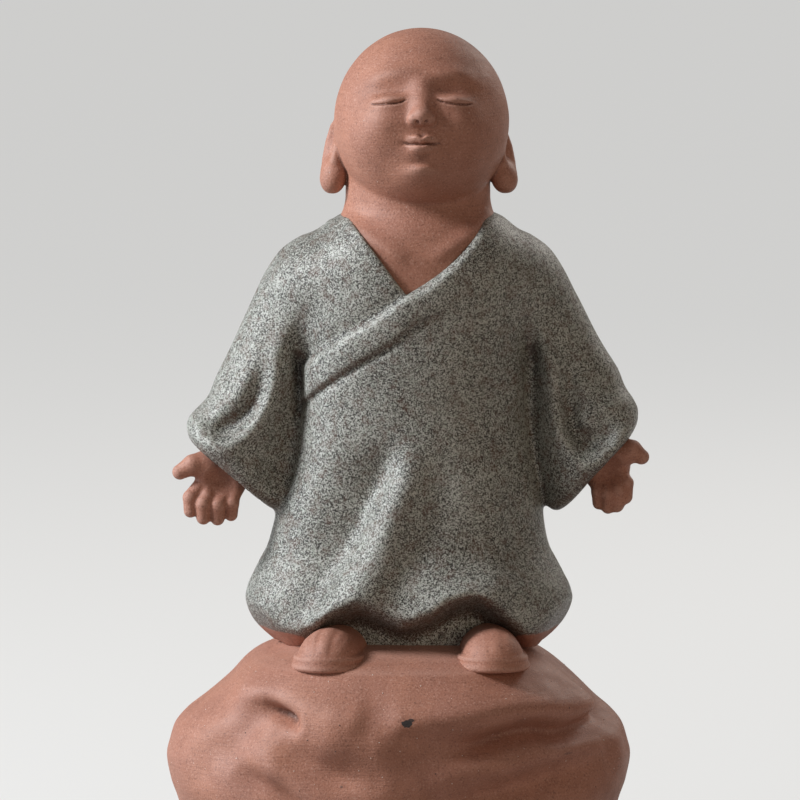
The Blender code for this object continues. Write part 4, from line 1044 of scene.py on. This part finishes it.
def handField(side, x, y, z):
    cuff = armPoints(side)[2]
    x, y, z = side * (x - robe["centreX"]) - cuff[0], y - cuff[1], z - cuff[2] + hand["lower"][side]
    if side > 0:
        x = x + 0.4
        z = z - 0.6 * ease(2, 8, x)
    palm, spread = hand["palm"], hand["spread"][side]
    body = egg(x - palm[0], y - palm[1], z - palm[2], hand["palmSize"])
    wrist = limb(x, y, z, (-1.8, 0.8, 4.7), palm, 3.4, 2.7)
    body = softMin(body, wrist, 1.4)
    fingers = None
    for root, knee, tip, radius in hand["fingers"]:
        root, knee, tip = ((1.2 + (p[0] - 1.2) * spread, *p[1:]) for p in (root, knee, tip))
        one = softMin(limb(x, y, z, root, knee, radius, 0.96 * radius),
                      limb(x, y, z, knee, tip, 0.96 * radius, 0.86 * radius), 0.25)
        nail = egg(x - tip[0], y - tip[1] - 1.1, z - tip[2], (0.75, 0.35, 0.9))
        one = softMax(one, -nail, 0.2)
        fingers = one if fingers is None else softMin(fingers, one, 0.6)
    body = softMin(body, fingers, 1.0)
    reach = hand["thumbReach"][side]
    root, knee, tip = ((3.4 + (p[0] - 3.4) * reach, *p[1:]) for p in hand["thumb"])
    thumb = softMin(limb(x, y, z, root, knee, 2.1, 1.75), limb(x, y, z, knee, tip, 1.75, 1.30), 0.4)
    ball = egg(x - 3.6, y + 4.0, z - 0.6, (2.4, 1.7, 2.4))
    body = softMin(body, softMin(thumb, ball, 1.4), 0.7)
    hollow = egg(x - 1.4, y + 5.9, z + 1.3, (2.6, 1.5, 2.2))
    return softMax(body, -hollow, 1.2)


# shoes

shoe = {
    "step": 0.2, "halfWidth": 5.7, "length": 18.0, "edge": 0.75, "soleThick": 1.9, "soleZ": 33.2, "upper": 5.2,
    "toeForward": 26.1, "x": {-1: -14.9, 1: 14.9}, "turn": {-1: math.radians(-13), 1: math.radians(5)},
}


def shoePlan(x, y, half):
    # distance from a round-toed outline whose toe is at y = 0
    bend = half * 1.05
    return np.where(y < bend, egg(x, y - bend, 0 * x, (half, bend, 9.0)), np.abs(x) - half)


def shoeField(side, x, y, z):
    x, y, z = x - shoe["x"][side], y + shoe["toeForward"], z - shoe["soleZ"]
    turn = shoe["turn"][side]
    x, y = x * math.cos(turn) + y * math.sin(turn), -x * math.sin(turn) + y * math.cos(turn)
    plan = shoePlan(x, y, shoe["halfWidth"] + shoe["edge"])
    thick = shoe["soleThick"]
    welt = softMax(plan + 0.15, np.abs(z - 0.36 * thick) - 0.36 * thick, 0.8)
    strip = softMax(plan + 0.45, np.abs(z - 1.0 * thick) - 0.36 * thick, 0.7)
    sole = softMin(welt, strip, 0.5)
    rise = np.clip((z - thick) / shoe["upper"], 0, 1)
    cap = egg(x, np.minimum(y - 6.1 - 1.6 * rise**2, 0), z - thick + 0.3, (5.25, 5.7, shoe["upper"] + 0.1))
    back = ease(11, 3, y)
    pleats = 0.12 * hump(x, 0.3, 0.8) - 0.16 * hump(np.abs(x - 0.2), 1.3, 0.55)
    for way, place in ((-1, 2.6), (1, 2.7), (-1, 4.0), (1, 3.9)):
        pleats = pleats - 0.07 * hump(x * way - 0.22 * y, place - 0.8, 0.5)
    strength = 1.0 if side < 0 else 0.35
    cap = (cap - strength * pleats * back * ease(0.1, 0.5, rise)) * 0.93
    cap = cap - 0.05 * unevenness(x, y, z, 2.2, 41)
    cap = softMax(cap, 0.4 - z, 0.5)
    body = softMin(sole, cap, 0.4)
    return softMax(body, y - shoe["length"], 0.4)


# scatter: specks of iron, flakes of mica and pinholes

def grainMesh(name, flat):
    bm = bmesh.new()
    bmesh.ops.create_icosphere(bm, subdivisions=1, radius=1)
    for vert in bm.verts:
        vert.co.z *= flat
    mesh = bpy.data.meshes.new(name)
    bm.to_mesh(mesh)
    bm.free()
    mesh.shade_smooth()
    return addObject(name, mesh)


def scatterTree(name):
    tree = bpy.data.node_groups.new(name, "GeometryNodeTree")
    panel = tree.interface
    panel.new_socket("Geometry", in_out="INPUT", socket_type="NodeSocketGeometry")
    for label, kind in (("Grain", "NodeSocketObject"), ("Per Square Metre", "NodeSocketFloat"),
                        ("Smallest", "NodeSocketFloat"), ("Largest", "NodeSocketFloat"),
                        ("Seed", "NodeSocketInt"), ("Material", "NodeSocketMaterial"),
                        ("Lowest", "NodeSocketFloat")):
        panel.new_socket(label, in_out="INPUT", socket_type=kind)
    panel.new_socket("Geometry", in_out="OUTPUT", socket_type="NodeSocketGeometry")
    start, end, spread, height, apart, above, pick, source, place, real, dress = map(tree.nodes.new, (
        "NodeGroupInput", "NodeGroupOutput", "GeometryNodeDistributePointsOnFaces", "GeometryNodeInputPosition",
        "ShaderNodeSeparateXYZ", "FunctionNodeCompare", "FunctionNodeRandomValue", "GeometryNodeObjectInfo",
        "GeometryNodeInstanceOnPoints", "GeometryNodeRealizeInstances", "GeometryNodeSetMaterial"))
    above.data_type = pick.data_type = "FLOAT"
    above.operation = "GREATER_THAN"
    for giver, given, taker, taken in (
            (start, "Geometry", spread, "Mesh"), (start, "Per Square Metre", spread, "Density"),
            (start, "Seed", spread, "Seed"), (height, 0, apart, 0), (apart, "Z", above, "A"),
            (start, "Lowest", above, "B"), (above, "Result", spread, "Selection"), (start, "Smallest", pick, 2),
            (start, "Largest", pick, 3), (start, "Seed", pick, "Seed"), (start, "Grain", source, "Object"),
            (spread, "Points", place, "Points"), (source, "Geometry", place, "Instance"),
            (spread, "Rotation", place, "Rotation"), (pick, 1, place, "Scale"),
            (place, "Instances", real, "Geometry"), (real, "Geometry", dress, "Geometry"),
            (start, "Material", dress, "Material"), (dress, "Geometry", end, "Geometry")):
        tree.links.new(giver.outputs[given], taker.inputs[taken])
    return tree


def scatterOn(tree, name, target, grain, density, sizes, seed, material, lowest=-1.0):
    holder = addObject(name + "Source", target.data)
    modifier = holder.modifiers.new("scatter", "NODES")
    modifier.node_group = tree
    values = {"Grain": grain, "Per Square Metre": density, "Smallest": sizes[0] * mm, "Largest": sizes[1] * mm,
              "Seed": seed, "Material": material, "Lowest": lowest * mm}
    for item in tree.interface.items_tree:
        if item.in_out == "INPUT" and item.name in values:
            modifier[item.identifier] = values[item.name]
    graph = bpy.context.evaluated_depsgraph_get()
    mesh = bpy.data.meshes.new_from_object(holder.evaluated_get(graph))
    holder.modifiers.clear()
    bpy.data.objects.remove(holder)
    mesh.name = name
    piece = addObject(name, mesh)
    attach(piece, "root")
    print(f"{name}: {len(mesh.polygons)} faces")
    return piece


def plainMaterial(name, colour, roughness, size, other):
    shop = MaterialShop(name)
    shop.set("Base Color", shop.mix(shop.ramp(shop.noise(size), 0.3, 0.7), colour, other))
    shop.set("Roughness", roughness + shop.noise(size) * 0.1)
    return shop.material


# putting it together

setCamera()
setStage()
print("camera, light and floor set")

skinClay = makeClay("skinClay", 0.05, 11.0).material
rockClay = makeClay("rockClay", 0.07, 14.0, 1.2, clay["spots"]).material
speckled = makeGlaze("speckledGlaze").material
print("materials made")

rockPiece = makeSkin("boulder", rockField, (-46, -37, -1.5), (42, 37, 40), rock["step"], ["rock_base"],
                     rockClay)
robePiece = makeSkin("wrapRobe", robeField, (-42, -25, 34), (44, 26, 112), robe["step"],
                     ["robe_body", "lapel_band", "sleeve_right", "sleeve_left"], speckled)
headPiece = makeSkin("headAndNeck", headField, (-17, -19, 92), (22, 19, 142), head["step"],
                     ["head", "ear_right", "ear_left", "neck_chest"], skinClay)
for side, word in ((-1, "Right"), (1, "Left")):
    cx, cy, cz = armPoints(side)[2]
    cx = robe["centreX"] + side * cx
    makeSkin("hand" + word, lambda x, y, z, s=side: handField(s, x, y, z), (cx - 13, cy - 10, cz - 12),
             (cx + 13, cy + 8, cz + 10), hand["step"], ["hand_" + word.lower()], skinClay)
    makeSkin("shoe" + word, lambda x, y, z, s=side: shoeField(s, x, y, z), (shoe["x"][side] - 10, -28, 31),
             (shoe["x"][side] + 10, -4, 44), shoe["step"],
             ["shoe_sole_" + word.lower(), "shoe_upper_" + word.lower()], skinClay)

grain = grainMesh("grain", 0.7)
tree = scatterTree("grainScatter")
glint = plainMaterial("quartzGlint", srgb(226, 208, 196), 0.25, 0.1, srgb(240, 232, 226))
iron = plainMaterial("ironSpeck", clay["iron"], 0.5, 0.1, srgb(74, 56, 50))
# pinholes are raised dark discs: their brown is partly the bare clay in a pinhole and partly painted shade of
# the pit
pinhole = plainMaterial("glazePinhole", srgb(60, 44, 38), 0.6, 0.1, srgb(104, 60, 50))
for name, target, density, sizes, seed, material, slot, lowest in (
        ("rockGlints", rockPiece, 26000, (0.05, 0.12), 3, glint, "red_clay", 0.5),
        ("rockSpecks", rockPiece, 7000, (0.06, 0.13), 5, iron, "red_clay", 0.5),
        ("skinGlints", headPiece, 16000, (0.04, 0.09), 7, glint, "red_clay", 96.0),
        ("glazePinholes", robePiece, 1500, (0.10, 0.19), 9, pinhole, "speckled_glaze", 44.0)):
    scatterOn(tree, name, target, grain, density, sizes, seed, material, lowest)
bpy.data.objects.remove(grain)
